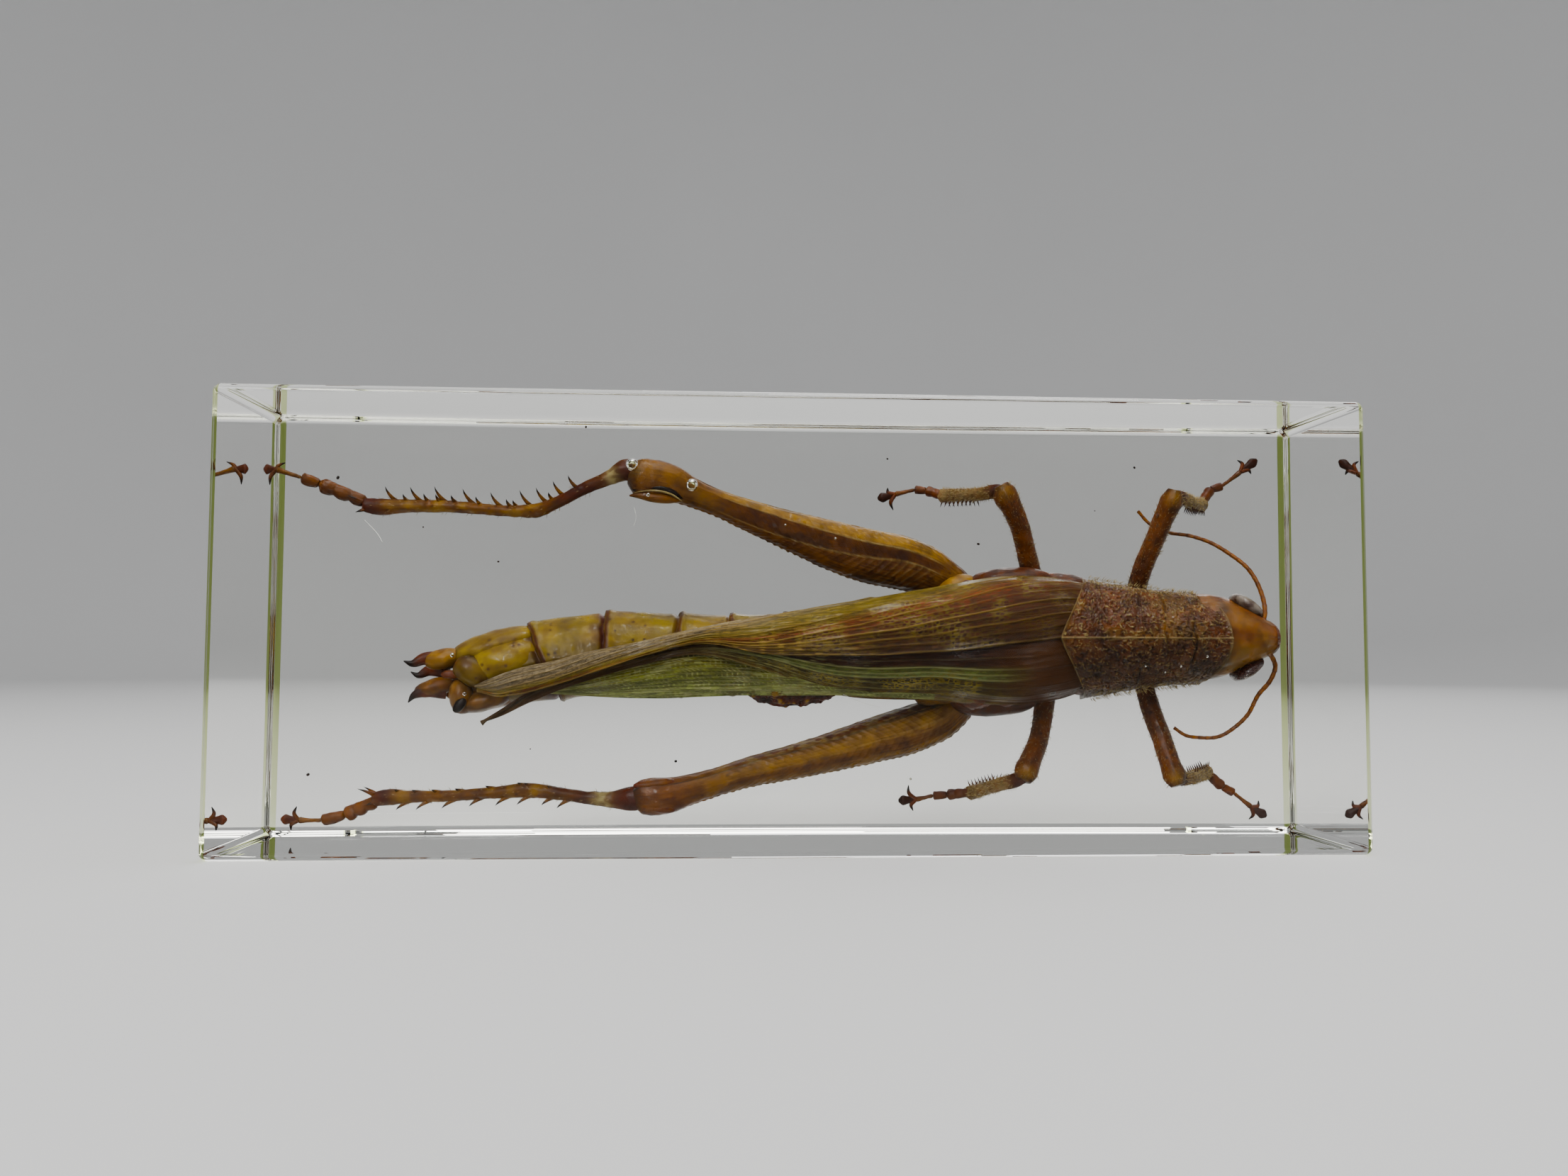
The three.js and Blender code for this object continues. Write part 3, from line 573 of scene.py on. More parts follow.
def mouth():
    """Upper lip, two jaws and four feelers under the face, each a lobe or a short run of beads."""
    made = []
    for centre, half_sizes, turn in (
        ([46.6, 5.6, 20.9], [0.9, 1.5, 2.1], 0),
        ([45.4, 6.6, 22.3], [1.2, 1.7, 1.2], 8),
        ([45.4, 6.6, 19.5], [1.2, 1.7, 1.2], -8),
        ([44.0, 6.9, 20.9], [1.1, 1.3, 1.9], 0),
    ):
        rows, given = lobe(centre, half_sizes, turn, rust=0.35)
        made.append(skin(rows, stains_and_painted_light(rows, **given)))
    for side in (-1, 1):
        for start, reach in (([44.6, 6.8, BODY_Z + 2.2 * side], [1.3, 1.3, 1.1]),
                             ([43.3, 6.9, BODY_Z + 1.7 * side], [0.7, 1.2, 1.3])):
            end = [start[0] + reach[0], start[1] + reach[1], start[2] + reach[2] * side]
            middle = [start[0] + 0.2, (start[1] + end[1]) / 2 + 0.2, end[2] - 0.1 * side]
            run = smooth_run([[*start, 0.26], [*middle, 0.24], [*end, 0.2]], 30)
            beads = 1 + 0.22 * np.abs(np.sin(np.linspace(0, 3 * np.pi, 30)))
            run[:, 3:] *= beads[:, None]
            rows, outward, angle = limb_rows(run, 12)
            made.append(skin(rows, stains_and_painted_light(rows, rust=0.5)))
    return made


make_piece("head", [head()] + mouth(), [HEAD_ORANGE])


# ================================================================================================
# The eyes: two bulging ovals of fine facets. The left one has a film of air over it, whose silvery
# reflection is painted on, and the right one is clear dark brown.
# ================================================================================================

EYES = {
    "left_eye": dict(centre=[46.45, -0.4, 24.15], half=[1.85, 2.5, 0.85], turn=-34, film=1.0),
    "right_eye": dict(centre=[46.45, -0.4, 17.75], half=[1.85, 2.5, 0.85], turn=34, film=0.0),
}


def eye_finish(name, film):
    """Dark brown glass-like cornea; where a film of air lies on it, silver-grey patches with facets, painted
    as the film's reflection.
    """
    material, tree, shader = new_finish(name)
    place = add(tree, "ShaderNodeTexCoord").outputs["Object"]
    facets = add(tree, "ShaderNodeTexVoronoi", {"Vector": place, "Scale": 5200.0, "Randomness": 0.25})
    cloud = add(tree, "ShaderNodeTexNoise", {"Vector": place, "Scale": 800.0, "Detail": 4.0})
    brown = blend(tree, cloud.outputs[0], colour(26, 10, 5), colour(72, 30, 12))
    # painted reflection: silver-grey patches stand for the sheen of the air film on the left eye
    painted_film_reflection = blend(tree, facets.outputs["Distance"], colour(160, 150, 140), colour(70, 58, 50))
    patches = reckon(tree, "MULTIPLY", steps(tree, cloud.outputs[0], [(0.36, 0.15), (0.52, 1.0)]), film)
    tree.links.new(blend(tree, patches, brown, painted_film_reflection), shader.inputs["Base Color"])
    edge = facets.outputs["Distance"]
    tree.links.new(steps(tree, edge, [(0.0, 0.16), (0.6, 0.32)]), shader.inputs["Roughness"])
    bump = add(tree, "ShaderNodeBump", {"Strength": 0.7, "Distance": 0.00003, "Height": edge})
    tree.links.new(bump.outputs[0], shader.inputs["Normal"])
    return material


for eye_name, eye in EYES.items():
    eye_rows, _ = lobe(eye["centre"], eye["half"], eye["turn"], around=72, along=60)
    make_piece(eye_name, [skin(eye_rows)], [eye_finish(eye_name + "_glass", eye["film"])])


# ================================================================================================
# The antennae: threads of some two dozen short joints, amber with a darker ring at each joint. They
# start between the eyes and curl back on both sides.
# ================================================================================================

ANTENNAE = [
    [[47.6, -2.2, 22.1], [48.1, -1.6, 23.4], [48.1, -0.4, 25.6], [47.1, 0.8, 28.1], [45.5, 2, 29.7],
     [43.6, 3, 31], [41.7, 3.8, 31.7], [39.6, 4.6, 32.1], [37.7, 5.2, 33.1], [36.6, 5.5, 34.4]],
    [[48.2, -2.2, 19.7], [49.2, -1.2, 17.8], [48.7, -1, 16.5], [47.6, -0.6, 15.1], [46.5, 0, 12.9],
     [45.3, 0.3, 11.7], [43.6, 0.6, 10.7], [41.8, 1, 10.6], [40.4, 1.2, 10.8], [39.2, 1.5, 11.6]],
]
ANTENNA_JOINTS = 24
ANTENNA_AMBER = shell_finish(
    "antenna_shell", colour(132, 76, 20), colour(84, 40, 12), specks=0.0, patch=1400.0, relief=0.00002)


def antenna(stations):
    """Thread that thins to its tip; each joint swells towards its end, where a dark ring lies."""
    run = smooth_run([[*point, 0.26] for point in stations], 24 * ANTENNA_JOINTS)
    share = np.linspace(0, 1, len(run))
    joint = (share * ANTENNA_JOINTS) % 1
    width = (0.27 - 0.09 * share) * (0.9 + 0.16 * joint) + 0.16 * near(share, 0.0, 0.03)
    run[:, 3] = run[:, 4] = width
    rows, outward, angle = limb_rows(run, 12)
    ring = near(joint, 0.0, 0.1) + near(joint, 1.0, 0.1)
    return skin(rows, stains_and_painted_light(rows, rust=0.75 * ring[:, None], gold=0.25))


make_piece("antennae", [antenna(stations) for stations in ANTENNAE], [ANTENNA_AMBER])


# ================================================================================================
# The pronotum: the saddle-shaped back shield, one hard plate over the front of the thorax. Its surface
# is wrinkled all over like worm casts, with a pale keel, three cross grooves and a pale rim.
# ================================================================================================

SADDLE_FRONT = {"x": 41.8, "reach": 1.9, "half": 4.65, "top": -5.5, "foot": 4.0}
SADDLE_REAR = {"x": 29.7, "reach": -3.5, "half": 6.2, "top": -5.7, "foot": 3.2}
SADDLE_GROOVES = [  # place along the plate, and where it lies across: angles in radians, left positive
    (0.215, 0.02, 0.5), (0.215, -0.45, 0.18), (0.385, -0.12, 0.26), (0.385, 0.75, 0.3), (0.56, 0.85, 0.35),
    (0.56, -0.8, 0.22)]
SADDLE_BROWN = shell_finish(
    "saddle_shell", colour(104, 66, 24), colour(40, 23, 9), specks=0.1, patch=420.0, streak=0.0,
    relief=0.00008)


def saddle():
    """Arch from foot to foot over the back: a half ellipse whose ends differ in width and whose edges bow."""
    along, across = 244, 200
    share = np.linspace(0, 1, along)[:, None]
    even = np.linspace(-0.5, 0.5, across)
    turn = np.pi * (even - 0.06 * np.sin(2 * np.pi * even))
    mix = {key: SADDLE_FRONT[key] + (SADDLE_REAR[key] - SADDLE_FRONT[key]) * share for key in SADDLE_FRONT}
    level = np.cos(turn) ** 0.8
    half = mix["half"] - 0.2 * np.sin(np.pi * share)
    point = np.cos(turn) ** 2 * (1 - share) + (1 - np.abs(np.sin(turn)) ** 1.25) * share
    rows = np.stack([
        mix["x"] + mix["reach"] * point,
        mix["foot"] + (mix["top"] - mix["foot"]) * level,
        BODY_Z + half * np.sin(turn),
    ], -1)
    outward = unit(np.stack([np.zeros(turn.shape), -np.cos(turn), np.sin(turn)], -1))
    wave = 0.012 * lattice_noise(rows, 1.2, 41)
    groove = sum(near(share + wave, place, 0.0075) * near(turn, side, reach)
                 for place, side, reach in SADDLE_GROOVES)
    rim = near(share, 0.0, 0.012) + near(share, 1.0, 0.009)
    keel = near(turn, 0, 0.016) * (1 - np.clip(groove * 1.5, 0, 1))
    warped = rows + 0.14 * np.stack([lattice_noise(rows, 0.35, seed) for seed in (42, 43, 44)], -1)
    worm = 1 - 3.4 * np.abs(lattice_noise(warped, 0.32, 45))
    small = 1 - 2.8 * np.abs(lattice_noise(warped, 0.18, 46))
    wrinkle = np.clip(0.55 * worm + 0.55 * small, 0, 1)
    pit = np.clip(lattice_noise(warped, 0.3, 48) * 2.4 - 0.3, 0, 1) * (1 - wrinkle)
    quiet = 1 - 0.75 * np.clip(rim + keel + groove, 0, 1)
    relief = (0.12 * wrinkle - 0.1 * pit) * quiet + 0.14 * rim + 0.16 * keel - 0.18 * groove
    relief += 0.12 * lattice_noise(rows, 1.8, 49)
    rows = rows + outward * relief[..., None]
    # painted shade: the lower (right) half is darkened, with less gold and fainter cream
    right = ramp_up(BODY_Z - rows[..., 2], -0.3, 1.2)
    warm = ramp_up(lattice_noise(rows, 1.5, 47), -0.1, 0.5)
    pale = (0.95 - 0.25 * right) * np.clip(wrinkle - 0.55, 0, 1) * 2.4 * quiet + 0.5 * keel + 0.35 * rim
    marks = stains_and_painted_light(rows, dark=0.5 * groove + 0.4 * pit + 0.4 * right * (1 - wrinkle), pale=pale,
                   gold=0.22 * warm * (1 - right) * (1 - pit), rust=0.35 * (1 - wrinkle) * (1 - 0.7 * warm))
    # the plate's underside closes the ring a little way in from the outside
    inner = rows - outward * 0.5
    ring = np.concatenate([rows, inner[:, ::-1]], axis=1)
    return skin(ring, np.concatenate([marks, marks[:, ::-1]], axis=1), sheet=True)


make_piece("pronotum", [saddle()], [SADDLE_BROWN])


# ================================================================================================
# The legs: six, each a coxa and trochanter at the body, a femur, a tibia and a foot of three padded
# joints with two claws and a soft pad between. Hollow tubes of amber to red-brown shell.
# ================================================================================================

LEGS = {
    "left_fore": {
        "side": (1, 0, 0.3),
        "thigh": [[36, 4.6, 22.6, 1.5], [36.1, 4.9, 25.2, 1.05], [36.8, 4.0, 28.4, 1.0],
                  [37.8, 2.9, 31.2, 1.0], [38.7, 1.7, 33.9, 1.05], [39.3, 1.0, 35.5, 1.1],
                  [39.5, 0.9, 36.3, 0.7]],
        "shin": [[38.9, 1.0, 35.3, 0.7], [39.7, 1.5, 35.6, 0.72], [41, 2.6, 35.4, 0.66],
                 [42.6, 5.1, 35.2, 0.66], [44, 7.5, 35.3, 0.74]],
        "foot": [[43.7, 7.1, 35.2], [45.2, 8.2, 37], [46.5, 8.4, 37.4], [48.6, 8.6, 39], [50.1, 8.7, 40.1]],
        "claws": [[48.3, 8.7, 40.3], [49.8, 8.7, 38.8]],
    },
    "right_fore": {
        "side": (1, 0, -0.3),
        "thigh": [[36.4, 4.6, 19.2, 1.5], [36.8, 4.9, 16.6, 1.05], [37.4, 4.0, 13.4, 1.0],
                  [38.1, 2.8, 10.8, 1.0], [38.8, 1.7, 7.9, 1.05], [39.2, 1.1, 6.4, 1.1],
                  [39.4, 0.9, 5.7, 0.7]],
        "shin": [[38.8, 1.1, 6.8, 0.7], [39.6, 1.7, 6.4, 0.72], [41, 2.9, 6.3, 0.66], [42.6, 5.2, 6.4, 0.66],
                 [44.1, 7.4, 6.7, 0.74]],
        "foot": [[43.8, 7, 6.8], [45.9, 8, 5.1], [47.2, 8.2, 4.4], [49.1, 8.3, 2.9], [50.4, 8.3, 2.1]],
        "claws": [[49.9, 8.3, 3.6], [48.8, 8.3, 1.6]],
    },
    "left_mid": {
        "side": (1, 0, 0.3),
        "thigh": [[25.9, 5, 23.6, 1.9], [25.3, 5, 26.4, 1.2], [24.4, 4.1, 29.6, 1.0], [23.6, 2.8, 32, 1.0],
                  [22.4, 1.6, 34.4, 1.1], [21.5, 1.1, 35.9, 1.2], [21.1, 1.0, 36.6, 0.8]],
        "shin": [[22, 1.1, 35.4, 0.72], [21, 1.4, 36, 0.74], [19.4, 2.4, 35.8, 0.68], [17.6, 5, 35.9, 0.68],
                 [15.9, 7.4, 36, 0.76]],
        "foot": [[16.2, 7, 35.9], [14.2, 8, 36.6], [13, 8.3, 36.7], [10.9, 8.5, 36.2], [9.4, 8.6, 35.8]],
        "claws": [[10.1, 8.6, 36.9], [10.7, 8.6, 34.5]],
    },
    "right_mid": {
        "side": (1, 0, -0.3),
        "thigh": [[26.4, 5, 18, 1.9], [26.4, 5, 15.2, 1.2], [25.9, 4.0, 12.2, 1.0], [25.2, 2.8, 10, 1.0],
                  [24.2, 1.7, 8.1, 1.1], [23.6, 1.2, 6.9, 1.2], [23.3, 1.0, 6.2, 0.8]],
        "shin": [[23.8, 1.2, 7.1, 0.72], [23, 1.6, 6.4, 0.74], [21.2, 2.9, 5.7, 0.68], [20, 5.1, 5.1, 0.68],
                 [18.8, 7.4, 4.5, 0.76]],
        "foot": [[18.9, 7, 4.6], [16.4, 8.2, 4.2], [14.9, 8.4, 4.1], [13.1, 8.6, 3.7], [11.6, 8.6, 3.6]],
        "claws": [[12.3, 8.6, 5.2], [12.8, 8.6, 2.5]],
    },
    "left_hind": {
        "side": (0, 0, 1),
        "thigh": [[18.4, 4.4, 24.2, 2.0, 1.8], [16.4, 4.2, 26.4, 1.9, 1.7], [14.2, 3.8, 27.6, 2.4, 2.0],
                  [11.4, 3.2, 28.5, 2.7, 2.15], [7.6, 2.3, 29.2, 2.7, 2.1], [3.8, 1.4, 30.2, 2.45, 1.95],
                  [-0.5, 0.5, 31.6, 1.95, 1.7], [-4.9, -0.5, 33.1, 1.5, 1.4], [-8.4, -1.3, 34.4, 1.25, 1.25],
                  [-10.8, -1.8, 35.3, 1.4, 1.35], [-12.8, -2.2, 36.1, 1.85, 1.5],
                  [-15, -2.4, 36.5, 2.0, 1.55], [-16.4, -2.5, 36.8, 1.6, 1.3], [-17, -2.5, 36.9, 0.9, 0.9]],
        "shin": [[-16.2, -2.5, 37.3, 1.0, 1.0], [-17.4, -2.5, 37.35, 1.1, 1.0],
                 [-18.6, -2.4, 36.75, 0.8, 0.8], [-21.4, -1.8, 35.55, 0.62, 0.7],
                 [-24, -1, 34.25, 0.6, 0.7], [-26.3, 0, 33.4, 0.72, 0.75],
                 [-28.4, 0.6, 33.35, 0.6, 0.7], [-35, 2.4, 33.85, 0.6, 0.7], [-40, 3.6, 33.95, 0.7, 0.75],
                 [-42.8, 4.3, 33.9, 0.85, 0.85], [-44.2, 4.5, 34.1, 0.7, 0.75]],
        "foot": [[-44, 4.6, 34.4], [-48.7, 4.6, 36.2], [-50.5, 4.4, 36.8], [-53.0, 4.3, 37.6],
                 [-54.0, 4.3, 37.6]],
        "claws": [[-53.6, 4.3, 36], [-52.1, 4.3, 38.3]],
    },
    "right_hind": {
        "side": (0, 0, 1),
        "thigh": [[19.4, 4.4, 16.8, 2.0, 1.8], [17.6, 4.3, 14.6, 1.8, 1.7], [15.4, 4.1, 12.6, 2.1, 2.0],
                  [12.6, 3.7, 11.5, 2.35, 2.15], [8, 2.9, 10.2, 2.2, 2.1], [3.1, 2, 8.9, 1.85, 1.95],
                  [-1.2, 1.1, 7.9, 1.6, 1.6], [-4.9, 0.4, 7.1, 1.4, 1.4], [-8, -0.2, 6.2, 1.3, 1.3],
                  [-10.6, -0.6, 5.5, 1.45, 1.4], [-13.0, -0.9, 4.9, 1.75, 1.5], [-14.7, -1, 4.8, 1.8, 1.4],
                  [-15.7, -1, 4.8, 1.5, 1.2], [-16.3, -1, 4.75, 0.9, 0.8]],
        "shin": [[-15, -0.9, 4.8, 1.1, 1.0], [-16.6, -0.8, 4.6, 1.2, 1.05], [-18.2, -0.4, 4.5, 0.85, 0.8],
                 [-20.4, 0.1, 4.6, 0.66, 0.72], [-23.1, 1, 4.9, 0.62, 0.7], [-26.8, 2, 5.25, 0.74, 0.78],
                 [-30.6, 2.9, 4.95, 0.58, 0.7], [-34.7, 4, 4.6, 0.56, 0.7], [-39, 5.2, 4.4, 0.62, 0.74],
                 [-41.6, 5.9, 4.3, 0.82, 0.85], [-42.8, 6.2, 4.1, 0.7, 0.75]],
        "foot": [[-42.6, 6.2, 3.9], [-45.8, 6.9, 2.5], [-48.2, 7.3, 1.9], [-50.6, 7.6, 1.9], [-52, 7.6, 2]],
        "claws": [[-50.8, 7.6, 3.3], [-51.3, 7.6, 0.9]],
    },
}
# Spines of the hind shins: places along the shin in mm of x, and how far each reaches from its foot.
HIND_SPINES = {
    "left_hind": [
        ([-40.9, -38.3, -35.7, -32.8, -30.0, -26.9, -25.3, -23.6, -22.2], 0.72, [-1.05, -0.5, 1.45]),
        ([-39.6, -37.4, -36.2, -34.6, -32.0, -28.9, -28.3, -24.6], 0.62, [-0.45, -0.9, 0.75]),
    ],
    "right_hind": [
        ([-39.2, -37.0, -34.4, -31.6, -28.8, -26.7, -24.4, -22.7], -0.7, [-1.25, -0.5, -0.85]),
        ([-39.9, -38.0, -36.0, -33.6, -30.4, -27.2, -26.6, -24.2], 0.66, [-0.75, -0.6, 0.3]),
    ],
}
LEG_AMBER = shell_finish(
    "leg_shell", colour(122, 76, 20), colour(62, 34, 10), specks=0.25, patch=520.0, streak=0.9,
    relief=0.00005)
HIND_AMBER = shell_finish(
    "hind_leg_shell", colour(128, 94, 18), colour(80, 50, 11), specks=0.26, patch=560.0, streak=1.0,
    relief=0.00005)


def cross_frame(along):
    """Two directions square to each given one, and to each other."""
    first = unit(np.cross(along, np.array([0.23, 0.91, 0.34])))
    return first, np.cross(along, first)


def tubes(paths, radii, sides):
    """Many thin tubes at once: paths are many x stations x 3 and radii many x stations."""
    along = unit(paths[:, -1] - paths[:, 0])[:, None]
    first, second = cross_frame(along)
    angle = 2 * np.pi * np.arange(sides) / sides
    aside = first[:, :, None] * np.cos(angle)[:, None] + second[:, :, None] * np.sin(angle)[:, None]
    return paths[:, :, None] + aside * radii[:, :, None, None]


def spikes(bases, tips, radius, sides=6, stations=5, bow=0.0, **marks):
    """Tapered spikes from bases to tips, bowed towards -X by a share of their length; tips turn black."""
    bases, tips = np.asarray(bases, float), np.asarray(tips, float)
    t = np.linspace(0, 1, stations)
    length = np.linalg.norm(tips - bases, axis=1)[:, None, None]
    paths = bases[:, None] + (tips - bases)[:, None] * t[:, None]
    paths = paths + np.array([-1.0, 0, 0]) * length * bow * (4 * t * (1 - t))[:, None]
    taper = np.maximum((1 - t) ** 0.75, 0.04)
    rows = tubes(paths, np.broadcast_to(radius * taper, (len(bases), stations)), sides)
    black = np.broadcast_to(ramp_up(t, 0.45, 0.7)[None, :, None], rows.shape[:3])
    given = dict(marks)
    given["dark"] = np.maximum(given.get("dark", 0), black)
    return skin(rows, stains_and_painted_light(rows, **given))


def femur(name, stations):
    """Tube through the stations; hind ones have keels, a herringbone of ribs and coloured long fields."""
    hind = "hind" in name
    run = smooth_run(stations, 420 if hind else 150)
    rows, outward, angle = limb_rows(run, 110 if hind else 48, LEGS[name]["side"])
    share = np.linspace(0, 1, len(run))[:, None]
    rough = 0.035 * lattice_noise(rows, 0.45, 51)
    lay = np.stack(np.broadcast_arrays(share * 30, 2 * np.cos(angle), 2 * np.sin(angle)), -1)
    if not hind:
        ribs = sum(near_angle(angle, place, 0.16) for place in (0, np.pi / 2, np.pi, 1.5 * np.pi))
        base = 1 - ramp_up(share, 0.12, 0.5)
        knee = ramp_up(share, 0.86, 0.97)
        rows = rows + outward * (0.05 * ribs + rough)[..., None]
        marks = stains_and_painted_light(rows, dark=0.35 * base + 0.12 * ribs + 0.5 * ramp_up(share, 0.955, 0.99),
                       gold=0.6 * knee * near_angle(angle, np.pi / 2, 0.8), rust=0.6 * base)
        return [skin(rows, marks, lay)]
    left = name == "left_hind"
    upper = 1.08 if left else 0.88
    middle = 1.55 + (0.75 if left else 0.2) * ramp_up(share, 0.2, 0.75)
    keels = near_angle(angle, 0, 0.07) + near_angle(angle, np.pi, 0.07)
    lines = near_angle(angle, upper, 0.035) + near_angle(angle, middle, 0.03)
    shaft = ramp_up(share, 0.1, 0.18) * (1 - ramp_up(share, 0.7, 0.8))
    slope = np.angle(np.exp(1j * (angle - middle)))
    chevron = np.abs((share * 44 - 2.4 * np.abs(slope)) % 1 - 0.5) * 2
    ribs = ramp_up(chevron, 0.55, 1.0) * shaft * (np.abs(slope) < 1.2)
    teeth = near_angle(angle, np.pi, 0.1) * (np.sin(share * 330) > 0)
    field_top = 1 - ramp_up(angle, upper - 0.12, upper + 0.1)
    field_top = np.where(angle > np.pi, ramp_up(angle, 4.6, 5.2), field_top)
    band = ramp_up(angle, upper - 0.1, upper + 0.12) * (1 - ramp_up(angle, middle - 0.1, middle + 0.05))
    under = ramp_up(angle, middle - 0.05, middle + 0.1) * (1 - ramp_up(angle, 3.4, 4.0))
    knee = ramp_up(share, 0.80, 0.9)
    relief = 0.10 * keels + 0.05 * lines + 0.05 * ribs + 0.06 * teeth + rough
    rows = rows + outward * (relief * (1 - 0.6 * knee))[..., None]
    patch = ramp_up(lattice_noise(rows * np.array([0.5, 1, 1]), 1.1, 52), -0.2, 0.5)
    pale = 0.55 * keels * shaft + 0.5 * lines * shaft + 0.3 * ribs * under * near(share, 0.22, 0.13)
    if left:
        dark = 0.62 * band * shaft * (0.5 + 0.5 * patch) + 0.06 * under * shaft
        dark = dark + 0.4 * field_top * patch * shaft
        gold = 0.75 * field_top * shaft + 0.55 * knee * near_angle(angle, 1.0, 0.7)
        rust = 0.5 * band * shaft + 0.4 * under * shaft + 0.35 * knee
    else:
        scaly = ramp_up(lattice_noise(rows * np.array([0.6, 1, 1]), 0.35, 55), -0.05, 0.3)
        strip = near_angle(angle, 0.4, 0.45) * shaft
        dark = 0.4 * near_angle(angle, 2.1, 0.25) * shaft * (0.3 + 0.7 * patch)
        dark = dark + 0.7 * near_angle(angle, 0.88, 0.06)
        gold = 0.6 * near_angle(angle, 1.4, 0.4) * shaft + 0.35 * near_angle(angle, 2.6, 0.35) * shaft
        rust = 0.5 * knee + 0.7 * strip * (1 - scaly) + 0.1 * shaft
        rust = rust + 0.3 * near_angle(angle, 2.1, 0.3) * shaft
        pale = 0.4 * pale + 0.5 * strip * scaly + 0.4 * near_angle(angle, 3.0, 0.08) * shaft
    marks = stains_and_painted_light(rows, dark=dark + 0.6 * ramp_up(share, 0.965, 0.995), pale=pale, gold=gold, rust=rust)
    return [skin(rows, marks, lay)]


def tibia(name, stations):
    """Slender tube with two faint keels; hind ones turn from red-brown at the knee to amber."""
    run = smooth_run(stations, 220)
    rows, outward, angle = limb_rows(run, 40, LEGS[name]["side"])
    share = np.linspace(0, 1, len(run))[:, None]
    lay = np.stack(np.broadcast_arrays(share * 26, 2 * np.cos(angle), 2 * np.sin(angle)), -1)
    keels = near_angle(angle, 0.5, 0.2) + near_angle(angle, np.pi - 0.4, 0.2)
    rows = rows + outward * (0.05 * keels + 0.04 * lattice_noise(rows, 0.4, 53))[..., None]
    if "hind" in name:
        red = 1 - ramp_up(share, 0.22, 0.42) + ramp_up(share, 0.88, 0.97)
        place, width = (0.085, 0.022) if name == "left_hind" else (0.15, 0.035)
        patchy = ramp_up(lattice_noise(rows, 1.1, 56), -0.2, 0.4)
        worn = ramp_up(lattice_noise(rows * np.array([0.4, 1, 1]), 0.3, 57), -0.3, 0.3)
        membrane = near(share, place, width) * (0.4 + 0.6 * worn)
        marks = stains_and_painted_light(rows, dark=0.25 * red + 0.12, pale=0.9 * membrane, gold=0.45 * (1 - red) * patchy,
                       rust=0.7 * red + 0.3 * (1 - patchy))
    else:
        grey = ramp_up(share, 0.16, 0.34)
        fine = ramp_up(lattice_noise(rows, 0.25, 59), -0.4, 0.5)
        marks = stains_and_painted_light(rows, dark=0.5 * (1 - grey), pale=(0.25 + 0.3 * fine) * grey, rust=0.8 * (1 - grey))
    return [skin(rows, marks, lay)]


def foot(name, joints, claws):
    """Three joints with bulging pads beneath, a slender last joint, curved claws and an oval pad."""
    joints = np.asarray(joints, float)
    hind = "hind" in name
    widths = [0.74, 0.6, 0.3] if hind else [0.58, 0.48, 0.28]
    made = []
    for number, (start, end, width) in enumerate(zip(joints[:-2], joints[1:-1], widths)):
        t = np.linspace(0, 1, 60)
        run = np.zeros((60, 5))
        run[:, :3] = start + (end - start) * t[:, None]
        pads = (3, 1, 1)[number]
        bulge = np.abs(np.sin(np.pi * t * pads)) ** 0.6
        body = 0.74 + 0.2 * t + 0.08 * bulge if number < 2 else 0.7 + 0.5 * t**3
        run[:, 3] = run[:, 4] = width * body * np.minimum(1, 5 * np.minimum(t, 1 - t) + 0.62)
        rows, outward, angle = limb_rows(run, 24, LEGS[name]["side"])
        beneath = near_angle(angle, np.pi if hind else -np.pi / 2, 1.0)
        rows = rows + outward * (width * 0.3 * (bulge[:, None] - 0.5) * beneath * (number < 2))[..., None]
        rows += outward * 0.03 * lattice_noise(rows, 0.3, 58)[..., None]
        marks = stains_and_painted_light(rows, dark=0.3 * (1 - bulge)[:, None] + 0.3 * beneath * (number < 2),
                       gold=0.25 * near_angle(angle, 1.2, 0.8), rust=0.65 if number < 2 else 0.35)
        made.append(skin(rows, marks))
    root, pad = joints[3], joints[4]
    for tip in np.asarray(claws, float):
        heel = (root + tip) / 2 + 0.25 * (pad - root)
        run = smooth_run([[*root, 0.24], [*heel, 0.2], [*tip, 0.04]], 24)
        rows, outward, angle = limb_rows(run, 12, LEGS[name]["side"])
        black = ramp_up(np.linspace(0, 1, 24), 0.5, 0.8)[:, None]
        made.append(skin(rows, stains_and_painted_light(rows, dark=black, rust=0.6)))
    run = smooth_run([[*root, 0.2], [*(0.4 * root + 0.6 * pad), 0.42], [*pad, 0.5],
                      [*(1.25 * pad - 0.25 * root), 0.15]], 30)
    run[:, 4] *= 0.6
    rows, outward, angle = limb_rows(run, 20, LEGS[name]["side"])
    made.append(skin(rows, stains_and_painted_light(rows, dark=0.25 if hind else 0.75, rust=0.9)))
    return made


def place_on(run, x, aside):
    """Point of a run at the given x, moved by a share of its half width towards +Z."""
    order = np.argsort(run[:, 0])
    found = np.stack([np.interp(x, run[order, 0], run[order, k]) for k in range(4)], -1)
    found[:, 2] += aside * found[:, 3]
    return found[:, :3]


